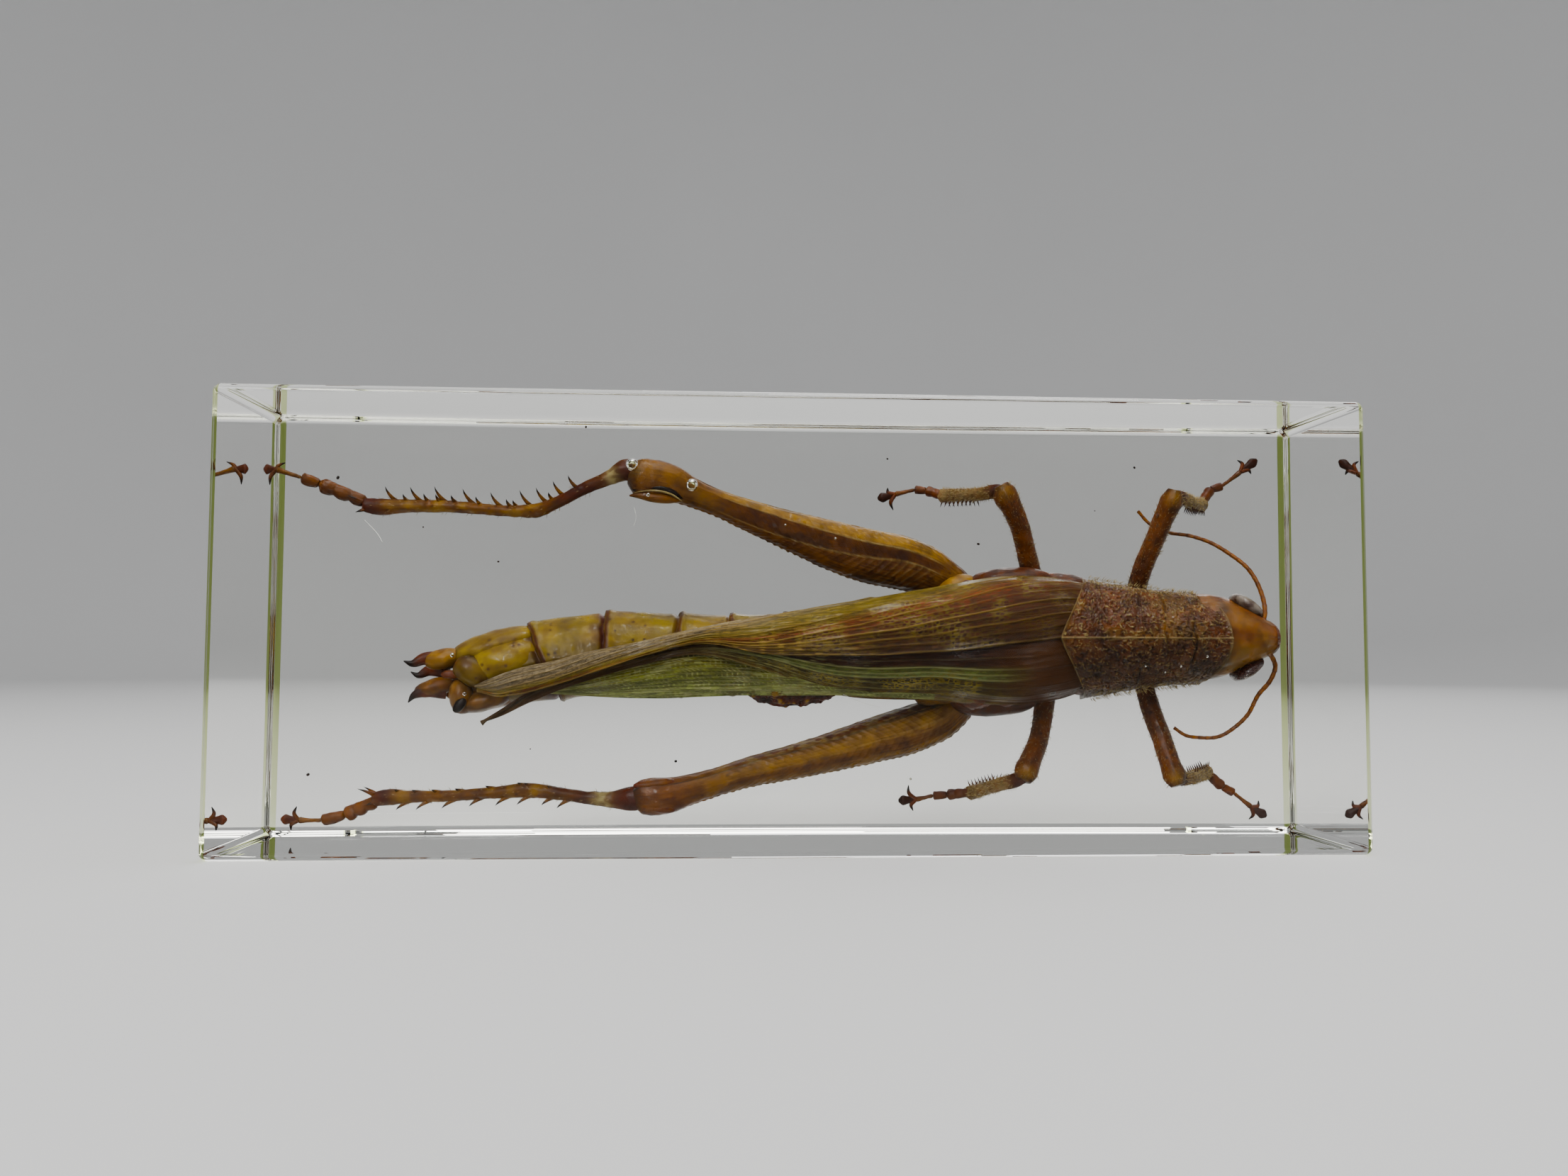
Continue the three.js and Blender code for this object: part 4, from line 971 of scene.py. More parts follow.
def shin_spines(name, stations):
    """Two rows of spines along a hind shin with spurs at its end; short combs on the other shins."""
    run = smooth_run(stations, 200)
    made = []
    if name in HIND_SPINES:
        for places, aside, lean in HIND_SPINES[name]:
            bases = place_on(run, np.array(places), aside)
            rng = np.random.default_rng(len(places) + 60)
            tips = bases + np.array(lean) * rng.uniform(0.85, 1.12, (len(bases), 1))
            made.append(spikes(bases, tips, 0.26, sides=8, bow=0.1, gold=0.2, rust=0.4))
        end = run[-6, :3]
        spurs = np.array([[-2.3, -0.7, 1.0], [-1.9, 0.6, 1.1], [-1.5, -0.6, -0.7], [-1.3, 0.6, -0.6]])
        made.append(spikes(np.repeat(end[None], 4, 0) + 0.25 * spurs, end + spurs, 0.3, bow=-0.08, rust=0.6))
        return made
    t = np.linspace(0.45, 0.95, 8)
    centre = np.stack([np.interp(t, np.linspace(0, 1, 200), run[:, k]) for k in range(3)], -1)
    side = np.sign(21 - centre[:, 2:3]) * np.array([0, 0, 1.0])
    for aside in (-1, 1):
        base = centre + side * 0.5 + np.array([0.3 * aside, 0, 0])
        tip = base + side * 0.75 + np.array([0.25 * aside, 0.25, 0])
        made.append(spikes(base, tip, 0.11, rust=0.5, dark=0.3))
    return made


def hip(name):
    """Coxa and trochanter: a swollen knuckle at the flank and a short ring between it and the femur."""
    first = np.array(LEGS[name]["thigh"][0][:3], float)
    second = np.array(LEGS[name]["thigh"][1][:3], float)
    inward = np.array([0, -0.6, -0.9 * np.sign(first[2] - BODY_Z)])
    step = second - first
    run = smooth_run([[*(first + 1.6 * inward), 2.4], [*first, 2.0 if "hind" in name else 1.8],
                      [*(first + 0.55 * step), 1.2], [*(first + 0.8 * step), 1.0]], 50)
    rows, outward, angle = limb_rows(run, 48, LEGS[name]["side"])
    rows = rows + outward * 0.12 * lattice_noise(rows, 0.8, 54)[..., None]
    ring = near(np.linspace(0, 1, 50), 0.62, 0.05)[:, None]
    gold = 0.8 if name == "left_hind" else 0.1
    return [skin(rows, stains_and_painted_light(rows, dark=0.5 * ring + 0.15, gold=gold * (1 - ring), rust=0.7 * (1 - gold)))]


def knee_lobes():
    """The left hind knee's side lobe: black crescent, cream edge below it, brown plate with a pale rim."""
    crescent = smooth_run([[-11.6, -3.2, 34.5, 0.06], [-12.6, -3.5, 35.15, 0.24], [-13.8, -3.6, 35.5, 0.26],
                           [-15.1, -3.5, 35.55, 0.2], [-16.6, -3.3, 35.3, 0.05]], 60)
    cream = crescent.copy()
    cream[:, 2] -= 0.32
    cream[:, 1] -= 0.12
    cream[:, 3:] *= 0.42
    plate = smooth_run([[-11.7, -2.9, 34.3, 0.1], [-13, -3.2, 34.4, 0.42], [-14.6, -3.3, 34.55, 0.46],
                        [-16, -3.2, 34.8, 0.34], [-16.9, -3.1, 34.75, 0.08]], 60)
    made = []
    stained = ((crescent, dict(dark=1.0)), (cream, dict(pale=0.85)), (plate, dict(rust=0.6, gold=0.5)))
    for run, given in stained:
        rows, outward, angle = limb_rows(run, 20)
        if "rust" in given:
            given["pale"] = 0.55 * near_angle(angle, np.pi, 0.5)
        made.append(skin(rows, stains_and_painted_light(rows, **given)))
    return made


RIGHT_KNEE_PLATES = [
    ([-14.2, -1.5, 6.1], [2.1, 0.7, 0.5], 6, dict(rust=0.5)),
    ([-15.3, -1.65, 4.6], [0.6, 0.5, 1.2], 0, dict(dark=0.5)),
    ([-13.9, -1.55, 3.75], [1.8, 0.6, 0.45], -8, dict(rust=0.6)),
]
for leg_name, leg in LEGS.items():
    leg_skins = hip(leg_name) + femur(leg_name, leg["thigh"]) + tibia(leg_name, leg["shin"])
    leg_skins += shin_spines(leg_name, leg["shin"]) + foot(leg_name, leg["foot"], leg["claws"])
    if leg_name == "left_hind":
        leg_skins += knee_lobes()
    if leg_name == "right_hind":
        leg_skins += plates(RIGHT_KNEE_PLATES)
    make_piece(leg_name + "_leg", leg_skins, [HIND_AMBER if "hind" in leg_name else LEG_AMBER])


# ================================================================================================
# The wings: two leathery forewings folded over the back, the left over the right, and between them the
# pleated hindwing. Thin membrane on raised veins, brown and olive, with a fine net of cream cells.
# ================================================================================================

WING_SKIN = 0.14
# Cross rows from the shoulder to the tail; each runs from the upper edge to the edge on the back.
LEFT_FOREWING = [
    [[32.5, 1.6, 25.9], [32.5, -1.4, 25.1], [32.5, -3.6, 23.5], [32.5, -4.5, 21.6]],
    [[28, 0.6, 26.9], [28, -2.7, 26.0], [28, -4.0, 24.0], [28, -4.9, 21.0]],
    [[23, 0.1, 27.3], [23, -3.3, 26.2], [23, -4.8, 23.7], [23, -5.3, 20.3]],
    [[14, -0.4, 25.9], [14, -3.6, 25.0], [14, -4.9, 22.6], [14, -5.2, 19.25]],
    [[4, -0.8, 24.15], [4, -3.8, 23.4], [4, -4.8, 21.6], [4, -5.05, 18.85]],
    [[-4, -1.4, 22.75], [-4, -3.9, 22.2], [-4, -4.7, 20.9], [-4, -4.95, 19.1]],
    [[-9.4, -2.6, 21.6], [-9.4, -4.2, 21.4], [-9.4, -4.7, 20.8], [-9.4, -4.95, 20.0]],
    [[-15, -3.4, 20.35], [-15, -4.2, 20.1], [-15, -4.6, 19.5], [-15, -4.7, 18.8]],
    [[-20, -3.5, 19.3], [-20, -4.1, 18.9], [-20, -4.3, 18.1], [-20, -4.3, 17.2]],
    [[-24, -3.4, 18.3], [-24, -3.9, 17.7], [-24, -4.0, 16.8], [-24, -3.9, 15.9]],
    [[-28, -3.1, 17.4], [-28, -3.5, 16.8], [-28, -3.5, 15.9], [-28, -3.3, 14.95]],
    [[-31, -2.8, 16.2], [-30.8, -3.0, 15.9], [-30.6, -3.0, 15.5], [-30.2, -2.8, 15.0]],
    [[-31.9, -2.6, 15.8], [-31.8, -2.7, 15.75], [-31.7, -2.7, 15.65], [-31.5, -2.6, 15.55]],
]
RIGHT_FOREWING = [
    [[32, -4.0, 21.5], [32, -3.8, 19.4], [32, -2.0, 17.2], [32, 2.2, 16.2]],
    [[27, -4.8, 21.6], [27, -4.3, 18.4], [27, -2.5, 15.8], [27, 1.0, 14.4]],
    [[23, -5.0, 21.2], [23, -4.7, 17.8], [23, -3.5, 15.2], [23, 0, 13.95]],
    [[14, -4.8, 20.2], [14, -4.4, 17.8], [14, -3.4, 15.8], [14, 0, 14.4]],
    [[4, -4.7, 19.9], [4, -4.2, 17.8], [4, -3.2, 16.2], [4, -0.2, 15.0]],
    [[-4, -4.6, 20.0], [-4, -4.4, 19.2], [-4, -4.2, 18.4], [-4, -3.8, 17.6]],
    [[-10, -4.5, 19.9], [-10, -4.4, 19.6], [-10, -4.3, 19.3], [-10, -4.1, 19.0]],
    [[-16, -4.1, 18.8], [-16, -4.0, 18.5], [-16, -3.9, 18.15], [-16, -3.8, 17.8]],
    [[-22, -3.6, 17.1], [-22, -3.5, 16.8], [-22, -3.4, 16.4], [-22, -3.2, 16.0]],
    [[-26.5, -3.1, 15.3], [-26.5, -2.9, 15.0], [-26.5, -2.8, 14.6], [-26.5, -2.6, 14.2]],
    [[-29.5, -2.6, 13.4], [-29.5, -2.5, 13.2], [-29.5, -2.4, 13.0], [-29.5, -2.3, 12.8]],
    [[-31.2, -2.3, 12.35], [-31.2, -2.3, 12.3], [-31.2, -2.2, 12.25], [-31.2, -2.2, 12.2]],
]
HINDWING = [
    [[14, -3.3, 17.6], [14, -2.9, 16.4], [14, -1.8, 15.4], [14, -0.2, 14.6]],
    [[8, -3.4, 18.0], [8, -2.9, 16.8], [8, -1.8, 15.6], [8, -0.3, 14.85]],
    [[2, -3.5, 18.6], [2, -3.0, 17.2], [2, -2.0, 15.9], [2, -0.4, 15.05]],
    [[-4, -3.7, 19.2], [-4, -3.1, 17.6], [-4, -2.0, 16.0], [-4, -0.5, 15.1]],
    [[-10, -3.7, 19.6], [-10, -3.1, 17.8], [-10, -2.0, 15.9], [-10, -0.7, 14.9]],
    [[-16, -3.4, 18.4], [-16, -2.9, 17.0], [-16, -2.1, 15.7], [-16, -1.0, 14.7]],
    [[-21, -2.9, 16.9], [-21, -2.5, 16.1], [-21, -1.8, 15.4], [-21, -1.2, 14.9]],
    [[-24.5, -2.4, 15.6], [-24.5, -2.2, 15.5], [-24.5, -2.0, 15.35], [-24.5, -1.8, 15.25]],
]


def patch(table, along, across):
    """Smooth surface through a table of rows: Hermite across each row, then along the rows by length."""
    table = np.asarray(table, float)
    knots = np.concatenate([[0], np.cumsum(np.linalg.norm(np.diff(table.mean(1), axis=0), axis=1))])
    columns = table.shape[1]
    wide = hermite(np.arange(columns), np.swapaxes(table, 0, 1), np.linspace(0, columns - 1, across))
    return hermite(knots, np.swapaxes(wide, 0, 1), np.linspace(0, knots[-1], along)), knots[-1]


def wing_normals(rows):
    """Unit normals of a surface grid, on its front."""
    normal = unit(np.cross(np.gradient(rows, axis=0), np.gradient(rows, axis=1)))
    return normal * -np.sign(np.mean(normal[..., 1]))


def membrane(table, veins, along, across, fan=0.0, pleats=0.0):
    """A thin sheet on a patch: veins stand up as ridges at their shares, cells sink between them.

    The lay is (mm along, mm across, field): the fields of colour run like the veins, which leave through
    the upper edge as the wing narrows, field = 1 - (1 - share across) / (1 - fan * share along).
    """
    front, length = patch(table, along, across)
    u = np.linspace(0, length, along)[:, None]
    v = np.linspace(0, 1, across)[None]
    field = 1 - (1 - v) / np.maximum(1 - fan * u / length, 0.12)
    normal = wing_normals(front)
    ridge = np.zeros((along, across))
    mask = np.zeros((along, across))
    reach = np.linalg.norm(front[:, -1] - front[:, 0], axis=1)[:, None]
    for start, end, height, pale in veins:
        place = start + (end - start) * (u / length)
        place = place + 0.006 * np.sin(u * 0.7 + 9 * start)
        bell = near((v - place) * reach, 0, 0.055 + 0.1 * height)
        ridge += height * bell
        mask = np.maximum(mask, bell * pale)
    lay = np.stack(np.broadcast_arrays(u, v * 8.5, field), -1)
    ripple = 0.05 * lattice_noise(lay * np.array([0.3, 2.2, 0]), 1.0, 72)
    ripple += 0.12 * lattice_noise(lay * np.array([0.12, 0.8, 0]), 1.0, 73)
    fold = pleats * np.abs(((v * 15) % 1) - 0.5)
    front = front + normal * (ridge + ripple + fold)[..., None]
    back = front + np.array([0, WING_SKIN, 0])
    rows = np.concatenate([front, back[:, ::-1]], axis=1)
    return rows, np.concatenate([lay, lay[:, ::-1]], axis=1), np.concatenate([mask, mask[:, ::-1]], axis=1)


def make_net():
    """Wing net: long cells between fine walls, from the distance to the nearest cell edge in the lay."""
    tree, given, result = new_group(
        "wing_net", [("Cells", "value"), ("Wall", "value")], [("Net", "value"), ("Cell", "value")])
    lay = add(tree, "ShaderNodeAttribute", attribute_name="lay").outputs["Vector"]
    place = add(tree, "ShaderNodeMapping", {"Vector": lay, "Scale": (0.75, 1.5, 0.0)}).outputs[0]
    spread = {"Vector": place, "Scale": given.outputs["Cells"], "Randomness": 0.7}
    cells = add(tree, "ShaderNodeTexVoronoi", spread, feature="DISTANCE_TO_EDGE")
    cell = add(tree, "ShaderNodeTexVoronoi", spread)
    wall = reckon(tree, "LESS_THAN", cells.outputs["Distance"], given.outputs["Wall"])
    tree.links.new(wall, result.inputs["Net"])
    lot = add(tree, "ShaderNodeSeparateColor", {0: cell.outputs["Color"]}).outputs[0]
    tree.links.new(lot, result.inputs["Cell"])
    return tree


WING_NET = make_net()


def wing_finish(name, fields, ends, net_at, cells=2.4, net_dark=0.45, vein=None):
    """Membrane coloured by a ramp over its field, under a net that is cream in places and dark elsewhere.

    ends are the fields at the ramp's two ends; net_at is a ramp over the same span for the cream net.
    """
    material, tree, shader = new_finish(name)
    place = add(tree, "ShaderNodeTexCoord").outputs["Object"]
    lay = add(tree, "ShaderNodeAttribute", attribute_name="lay").outputs["Vector"]
    marks = add(tree, "ShaderNodeAttribute", attribute_name="marks")
    channel = add(tree, "ShaderNodeSeparateColor", {0: marks.outputs["Color"]})
    part = add(tree, "ShaderNodeSeparateXYZ", {0: lay})
    wander = add(tree, "ShaderNodeTexNoise", {
        "Vector": add(tree, "ShaderNodeMapping", {"Vector": lay, "Scale": (0.16, 1.1, 0.0)}).outputs[0],
        "Scale": 1.0, "Detail": 4.0})
    share = add(tree, "ShaderNodeMapRange", {0: part.outputs[2], 1: ends[0], 2: ends[1]}).outputs[0]
    share = reckon(tree, "MULTIPLY_ADD", reckon(tree, "SUBTRACT", wander.outputs[0], 0.5), 0.07, share)
    base = steps(tree, share, fields)
    streak = add(tree, "ShaderNodeTexNoise", {
        "Vector": add(tree, "ShaderNodeMapping", {"Vector": lay, "Scale": (0.3, 5.0, 0.0)}).outputs[0],
        "Scale": 1.0, "Detail": 6.0, "Roughness": 0.7})
    base = blend(tree, 1.0, base, steps(tree, streak.outputs[0], [(0.3, 0.35), (0.7, 1.6)]), "MULTIPLY")
    net = add(tree, "ShaderNodeGroup", node_tree=WING_NET)
    net.inputs["Cells"].default_value = cells
    net.inputs["Wall"].default_value = 0.1
    base = blend(tree, 1.0, base, steps(tree, net.outputs["Cell"], [(0.0, 0.6), (1.0, 1.35)]), "MULTIPLY")
    base = blend(tree, reckon(tree, "MULTIPLY", net.outputs["Net"], net_dark), base, colour(30, 16, 8))
    patchy = add(tree, "ShaderNodeTexNoise", {"Vector": place, "Scale": 330.0, "Detail": 4.0})
    seen = reckon(tree, "MULTIPLY", steps(tree, patchy.outputs[0], [(0.42, 0.12), (0.62, 0.85)]),
                  steps(tree, share, net_at))
    base = blend(tree, reckon(tree, "MULTIPLY", net.outputs["Net"], seen), base, colour(150, 134, 74))
    base = blend(tree, channel.outputs[1], base, vein or colour(164, 140, 92))
    rust = blend(tree, streak.outputs[0], colour(44, 24, 9), colour(92, 60, 26))
    base = blend(tree, marks.outputs["Alpha"], base, rust)
    base = blend(tree, channel.outputs[0], base, colour(20, 11, 7))
    tree.links.new(base, shader.inputs["Base Color"])
    tree.links.new(steps(tree, patchy.outputs[0], [(0.35, 0.5), (0.65, 0.26)]), shader.inputs["Roughness"])
    height = reckon(tree, "MULTIPLY_ADD", net.outputs["Net"], 0.7, streak.outputs[0])
    bump = add(tree, "ShaderNodeBump", {"Strength": 0.9, "Distance": 0.00009, "Height": height})
    tree.links.new(bump.outputs[0], shader.inputs["Normal"])
    film = reckon(tree, "MULTIPLY", streak.outputs[0], patchy.outputs[0])
    tree.links.new(steps(tree, film, [(0.27, 0.0), (0.37, 0.6)]), shader.inputs["Coat Weight"])
    shader.inputs["Specular IOR Level"].default_value = 0.08
    shader.inputs["Coat Roughness"].default_value = 0.25
    return material


LEFT_VEINS = [  # share across at the shoulder and at the tip, height, paleness
    (-0.11, 1.2, 0.09, 0.25), (0.03, 1.28, 0.06, 0.1), (0.17, 1.3, 0.12, 0.55), (0.34, 1.2, 0.07, 0.15),
    (0.51, 1.14, 0.13, 0.6), (0.62, 1.08, 0.06, 0.15), (0.73, 1.03, 0.08, 0.35), (0.86, 1.0, 0.06, 0.1),
    (0.985, 0.985, 0.1, 0.25), (-0.5, 0.78, 0.1, 0.3), (-0.72, 0.6, 0.1, 0.3), (-0.34, 0.95, 0.08, 0.2),
    (-0.9, 0.4, 0.08, 0.3), (-1.1, 0.2, 0.08, 0.3)]
RIGHT_VEINS = [
    (0.22, 0.22, 0.07, 0.1), (0.36, 0.3, 0.1, 0.6), (0.42, 0.42, 0.06, 0.5), (0.48, 0.5, 0.08, 0.6),
    (0.58, 0.62, 0.07, 0.2), (0.7, 0.74, 0.09, 0.4), (0.82, 0.84, 0.07, 0.15), (0.95, 0.95, 0.12, 0.35)]
FAN_VEINS = [(place / 14, place / 14, 0.08, 0.4) for place in range(1, 14)]

LEFT_WING = wing_finish(
    "left_forewing_membrane",
    [(0.0, colour(158, 144, 122)), (0.3, colour(142, 126, 102)), (0.5, colour(126, 112, 74)),
     (0.64, colour(108, 94, 34)), (0.73, colour(98, 76, 22)), (0.78, colour(112, 62, 16)),
     (0.84, colour(80, 40, 15)), (0.9, colour(58, 30, 12)), (0.95, colour(60, 36, 12)),
     (1.0, colour(34, 18, 7))],
    (-3.0, 1.0), [(0.5, 0.0), (0.66, 0.8), (0.8, 0.75), (1.0, 0.2)])
RIGHT_WING = wing_finish(
    "right_forewing_membrane",
    [(0.0, colour(46, 24, 8)), (0.3, colour(50, 28, 10)), (0.37, colour(84, 90, 54)),
     (0.47, colour(92, 102, 70)), (0.53, colour(34, 24, 9)), (0.68, colour(54, 44, 16)),
     (0.84, colour(84, 64, 20)), (1.0, colour(98, 74, 26))],
    (0.0, 1.0), [(0.3, 0.0), (0.5, 0.5), (0.6, 1.0), (0.8, 0.7), (1.0, 0.2)], vein=colour(164, 164, 124))
FAN_WING = wing_finish(
    "hindwing_membrane",
    [(0.0, colour(80, 64, 24)), (0.25, colour(124, 122, 62)), (0.6, colour(148, 156, 97)),
     (1.0, colour(170, 178, 126))],
    (0.0, 1.0), [(0.0, 0.5), (1.0, 0.5)], cells=1.7, net_dark=0.25, vein=colour(196, 196, 152))


def forewing(table, veins, along, across, fan, far_dull, near_dull):
    """A forewing's sheet, darker near the shoulder; the two dull shares brown its far end and its root."""
    rows, lay, mask = membrane(table, veins, along, across, fan=fan)
    shoulder = 1 - ramp_up(lay[..., 0], 4, 15)
    glint = ramp_up(lattice_noise(lay * np.array([1.1, 9.0, 0]), 1.0, 75), 0.42, 0.62)
    glint = glint * near(lay[..., 0], 40, 11)
    dull = far_dull * ramp_up(lay[..., 0], 34, 46) + near_dull * (1 - ramp_up(lay[..., 0], 6, 15))
    marks = stains_and_painted_light(rows, dark=0.2 * shoulder, pale=mask + 0.8 * glint, rust=0.5 * shoulder + dull)
    return skin(rows, marks, lay, sheet=True)


def hindwing():
    """The fan: pleats that run its length, and fine curved cross veins pale on green."""
    rows, lay, mask = membrane(HINDWING, FAN_VEINS, 300, 110, pleats=0.42)
    cross = np.abs((lay[..., 0] * 2.0 + 1.5 * lay[..., 1] + 0.5 * np.sin(lay[..., 1] * 4)) % 1 - 0.5) * 2
    fine = ramp_up(cross, 0.8, 0.97)
    dim = ramp_up(lattice_noise(lay * np.array([0.25, 1.1, 0]), 1.0, 74), -0.1, 0.5)
    glint = ramp_up(lattice_noise(lay * np.array([1.0, 8.0, 0]), 1.0, 76), 0.45, 0.6)
    pale = np.maximum(mask, 0.55 * fine) + 0.5 * glint
    return skin(rows, stains_and_painted_light(rows, pale=pale, dark=0.5 * dim * (1 - fine)), lay, sheet=True)


make_piece("left_forewing", [forewing(LEFT_FOREWING, LEFT_VEINS, 440, 110, 1.25, 0.0, 0.0)], [LEFT_WING])
make_piece("right_forewing", [forewing(RIGHT_FOREWING, RIGHT_VEINS, 380, 90, 0.0, 0.85, 0.8)], [RIGHT_WING])
make_piece("hindwing", [hindwing()], [FAN_WING])

# The flap: a torn, crinkled fold of the hindwing that hangs below the lower edge, dark brown with glints.
FLAP = [
    [[4.2, -0.9, 15.3], [4.1, -0.4, 15.1], [4.0, 0.1, 14.9], [3.8, 0.6, 14.7]],
    [[2.6, -0.9, 15.4], [2.6, -0.2, 14.9], [2.6, 0.5, 14.4], [2.6, 1.0, 14.1]],
    [[0.5, -0.9, 15.4], [0.5, -0.2, 14.8], [0.5, 0.5, 14.2], [0.5, 1.1, 13.75]],
    [[-2, -0.9, 15.4], [-2, -0.2, 14.8], [-2, 0.5, 14.2], [-2, 1.1, 13.8]],
    [[-4.2, -0.9, 15.4], [-4.2, -0.2, 15.0], [-4.2, 0.4, 14.6], [-4.2, 0.9, 14.35]],
    [[-5.6, -0.8, 15.3], [-5.6, -0.4, 15.2], [-5.6, 0.1, 15.1], [-5.5, 0.6, 15.0]],
]
FLAP_BROWN = shell_finish(
    "wing_flap_shell", colour(92, 44, 14), colour(36, 16, 7), specks=0.1, patch=900.0, relief=0.0001)


def flap():
    """Small sheet crumpled by noise, with painted shade in its hollows and painted golden highlights on its
    crests.
    """
    front, _ = patch(FLAP, 120, 40)
    crumple = 0.22 * lattice_noise(front, 0.55, 81) + 0.1 * lattice_noise(front, 0.25, 82)
    front = front + wing_normals(front) * crumple[..., None]
    rows = np.concatenate([front, (front + np.array([0, 0.16, 0]))[:, ::-1]], axis=1)
    crest = np.concatenate([crumple, crumple[:, ::-1]], axis=1)
    # painted shade in the hollows, painted golden highlights on the crests
    return skin(rows, stains_and_painted_light(rows, dark=0.5 * (crest < -0.03), gold=ramp_up(crest, 0.1, 0.22)), sheet=True)


make_piece("wing_flap", [flap()], [FLAP_BROWN])


# ================================================================================================
# Hairs: a short cream fringe down both sides of the fore and mid legs, denser and longer on their
# shins, and a thin down on the rim of the pronotum. Fine tapered threads rooted in the shell.
# ================================================================================================

HAIR_CREAM = shell_finish("hair", colour(214, 198, 160), colour(150, 126, 86), specks=0.0, patch=2000.0)


def fringe(stations, count, length, seed, start=0.1):
    """Hairs standing out from a limb on random sides, leaning towards its end."""
    rng = np.random.default_rng(seed)
    run = smooth_run(stations, 200)
    pick = rng.integers(int(200 * start), 196, count)
    forward = unit(np.gradient(run[:, :3], axis=0))[pick]
    first, second = cross_frame(forward)
    angle = rng.uniform(0, 2 * np.pi, (count, 1))
    outward = first * np.cos(angle) + second * np.sin(angle)
    base = run[pick, :3] + outward * run[pick, 3:4] * 0.92
    reach = length * rng.uniform(0.5, 1.2, (count, 1))
    tip = base + outward * reach + forward * reach * 0.6
    bend = forward * reach * 0.12
    paths = np.stack([base, (base + tip) / 2 - bend, tip], 1)
    radii = np.broadcast_to(np.array([0.03, 0.024, 0.008]), (count, 3))
    return skin(tubes(paths, radii, 3))


hair_skins = []
for number, leg_name in enumerate(("left_fore", "right_fore", "left_mid", "right_mid")):
    hair_skins.append(fringe(LEGS[leg_name]["thigh"], 520, 0.36, 90 + number))
    hair_skins.append(fringe(LEGS[leg_name]["shin"], 460, 0.3, 95 + number, start=0.2))
for number, leg_name in enumerate(("left_hind", "right_hind")):
    hair_skins.append(fringe(LEGS[leg_name]["shin"], 160, 0.35, 100 + number))
for number, rim in enumerate((
    [[30, -0.6, 26.85, 0.15], [33, -0.8, 26.3, 0.15], [37, -1.0, 25.75, 0.15], [41.4, -1.0, 25.2, 0.15]],
    [[30, -0.6, 14.75, 0.15], [33, -0.8, 15.3, 0.15], [37, -1.0, 15.85, 0.15], [41.4, -1.0, 16.4, 0.15]],
)):
    hair_skins.append(fringe(rim, 420, 0.42, 110 + number, start=0.0))
make_piece("hairs", hair_skins, [HAIR_CREAM])


# ================================================================================================
# The resin block: clear polyester cast round the insect, ground flat and polished, edges rounded.
# It has a faint green-yellow tint, a few trapped bubbles, and is one casting in place of both halves.
# ================================================================================================

BLOCK = (110.0, 28.0, 44.0)
EDGE_RADIUS = 0.8
SMALL_FACE = 4 * MM
BUBBLES = [  # centre and radius
    ([-16.6, -4.75, 37.7], 0.62), ([-10.7, -4.1, 35.8], 0.62), ([-15.0, -4.35, 34.75], 0.2),
    ([-1.3, -2.6, 32.0], 0.12), ([3.8, -2.0, 30.7], 0.14), ([-34.1, -2.4, 18.8], 0.22),
    ([-32.8, -2.75, 15.0], 0.2), ([34.6, -6.0, 18.0], 0.1), ([38.2, -5.95, 18.0], 0.12),
    ([40.9, -5.9, 19.0], 0.14), ([36.6, -5.9, 17.4], 0.09), ([12.0, 3.5, 6.2], 0.12),
]
RESIN_TINT = (0.95, 0.965, 0.86, 1.0)
RESIN_DENSITY = 8.0  # how strongly the tint absorbs, per metre of path
RESIN_IOR = 1.55


def rounded_block():
    """Rounded box: each ring is the inner rectangle grown by edge radius * cos(t), t turning at each end."""
    half = np.array(BLOCK) / 2
    turn = np.linspace(-np.pi / 2, np.pi / 2, 18)
    x = np.where(turn < 0, -1, 1) * (half[0] - EDGE_RADIUS) + EDGE_RADIUS * np.sin(turn)
    grow = EDGE_RADIUS * np.cos(turn)
    corner = np.radians(np.concatenate([np.linspace(q, q + 90, 9) for q in (0, 90, 180, 270)]))
    signs = np.repeat([[1, 1], [-1, 1], [-1, -1], [1, -1]], 9, axis=0)
    inner = signs * (half[1:] - EDGE_RADIUS)
    yz = inner[None] + grow[:, None, None] * np.stack([np.cos(corner), np.sin(corner)], -1)
    rows = np.concatenate([np.broadcast_to(x[:, None, None], yz.shape[:2] + (1,)), yz], -1)
    rows[..., 2] += BLOCK[2] / 2
    return skin(rows)


def bubble(centre, radius):
    """Sphere turned inside out: the wall of a hollow in the resin."""
    rows, _ = lobe(centre, [radius] * 3, 0, around=24, along=16)
    made = skin(np.asarray(centre) + radius * unit(rows - np.asarray(centre)))
    made["quads"], made["tris"] = made["quads"][:, ::-1], made["tris"][:, ::-1]
    return made


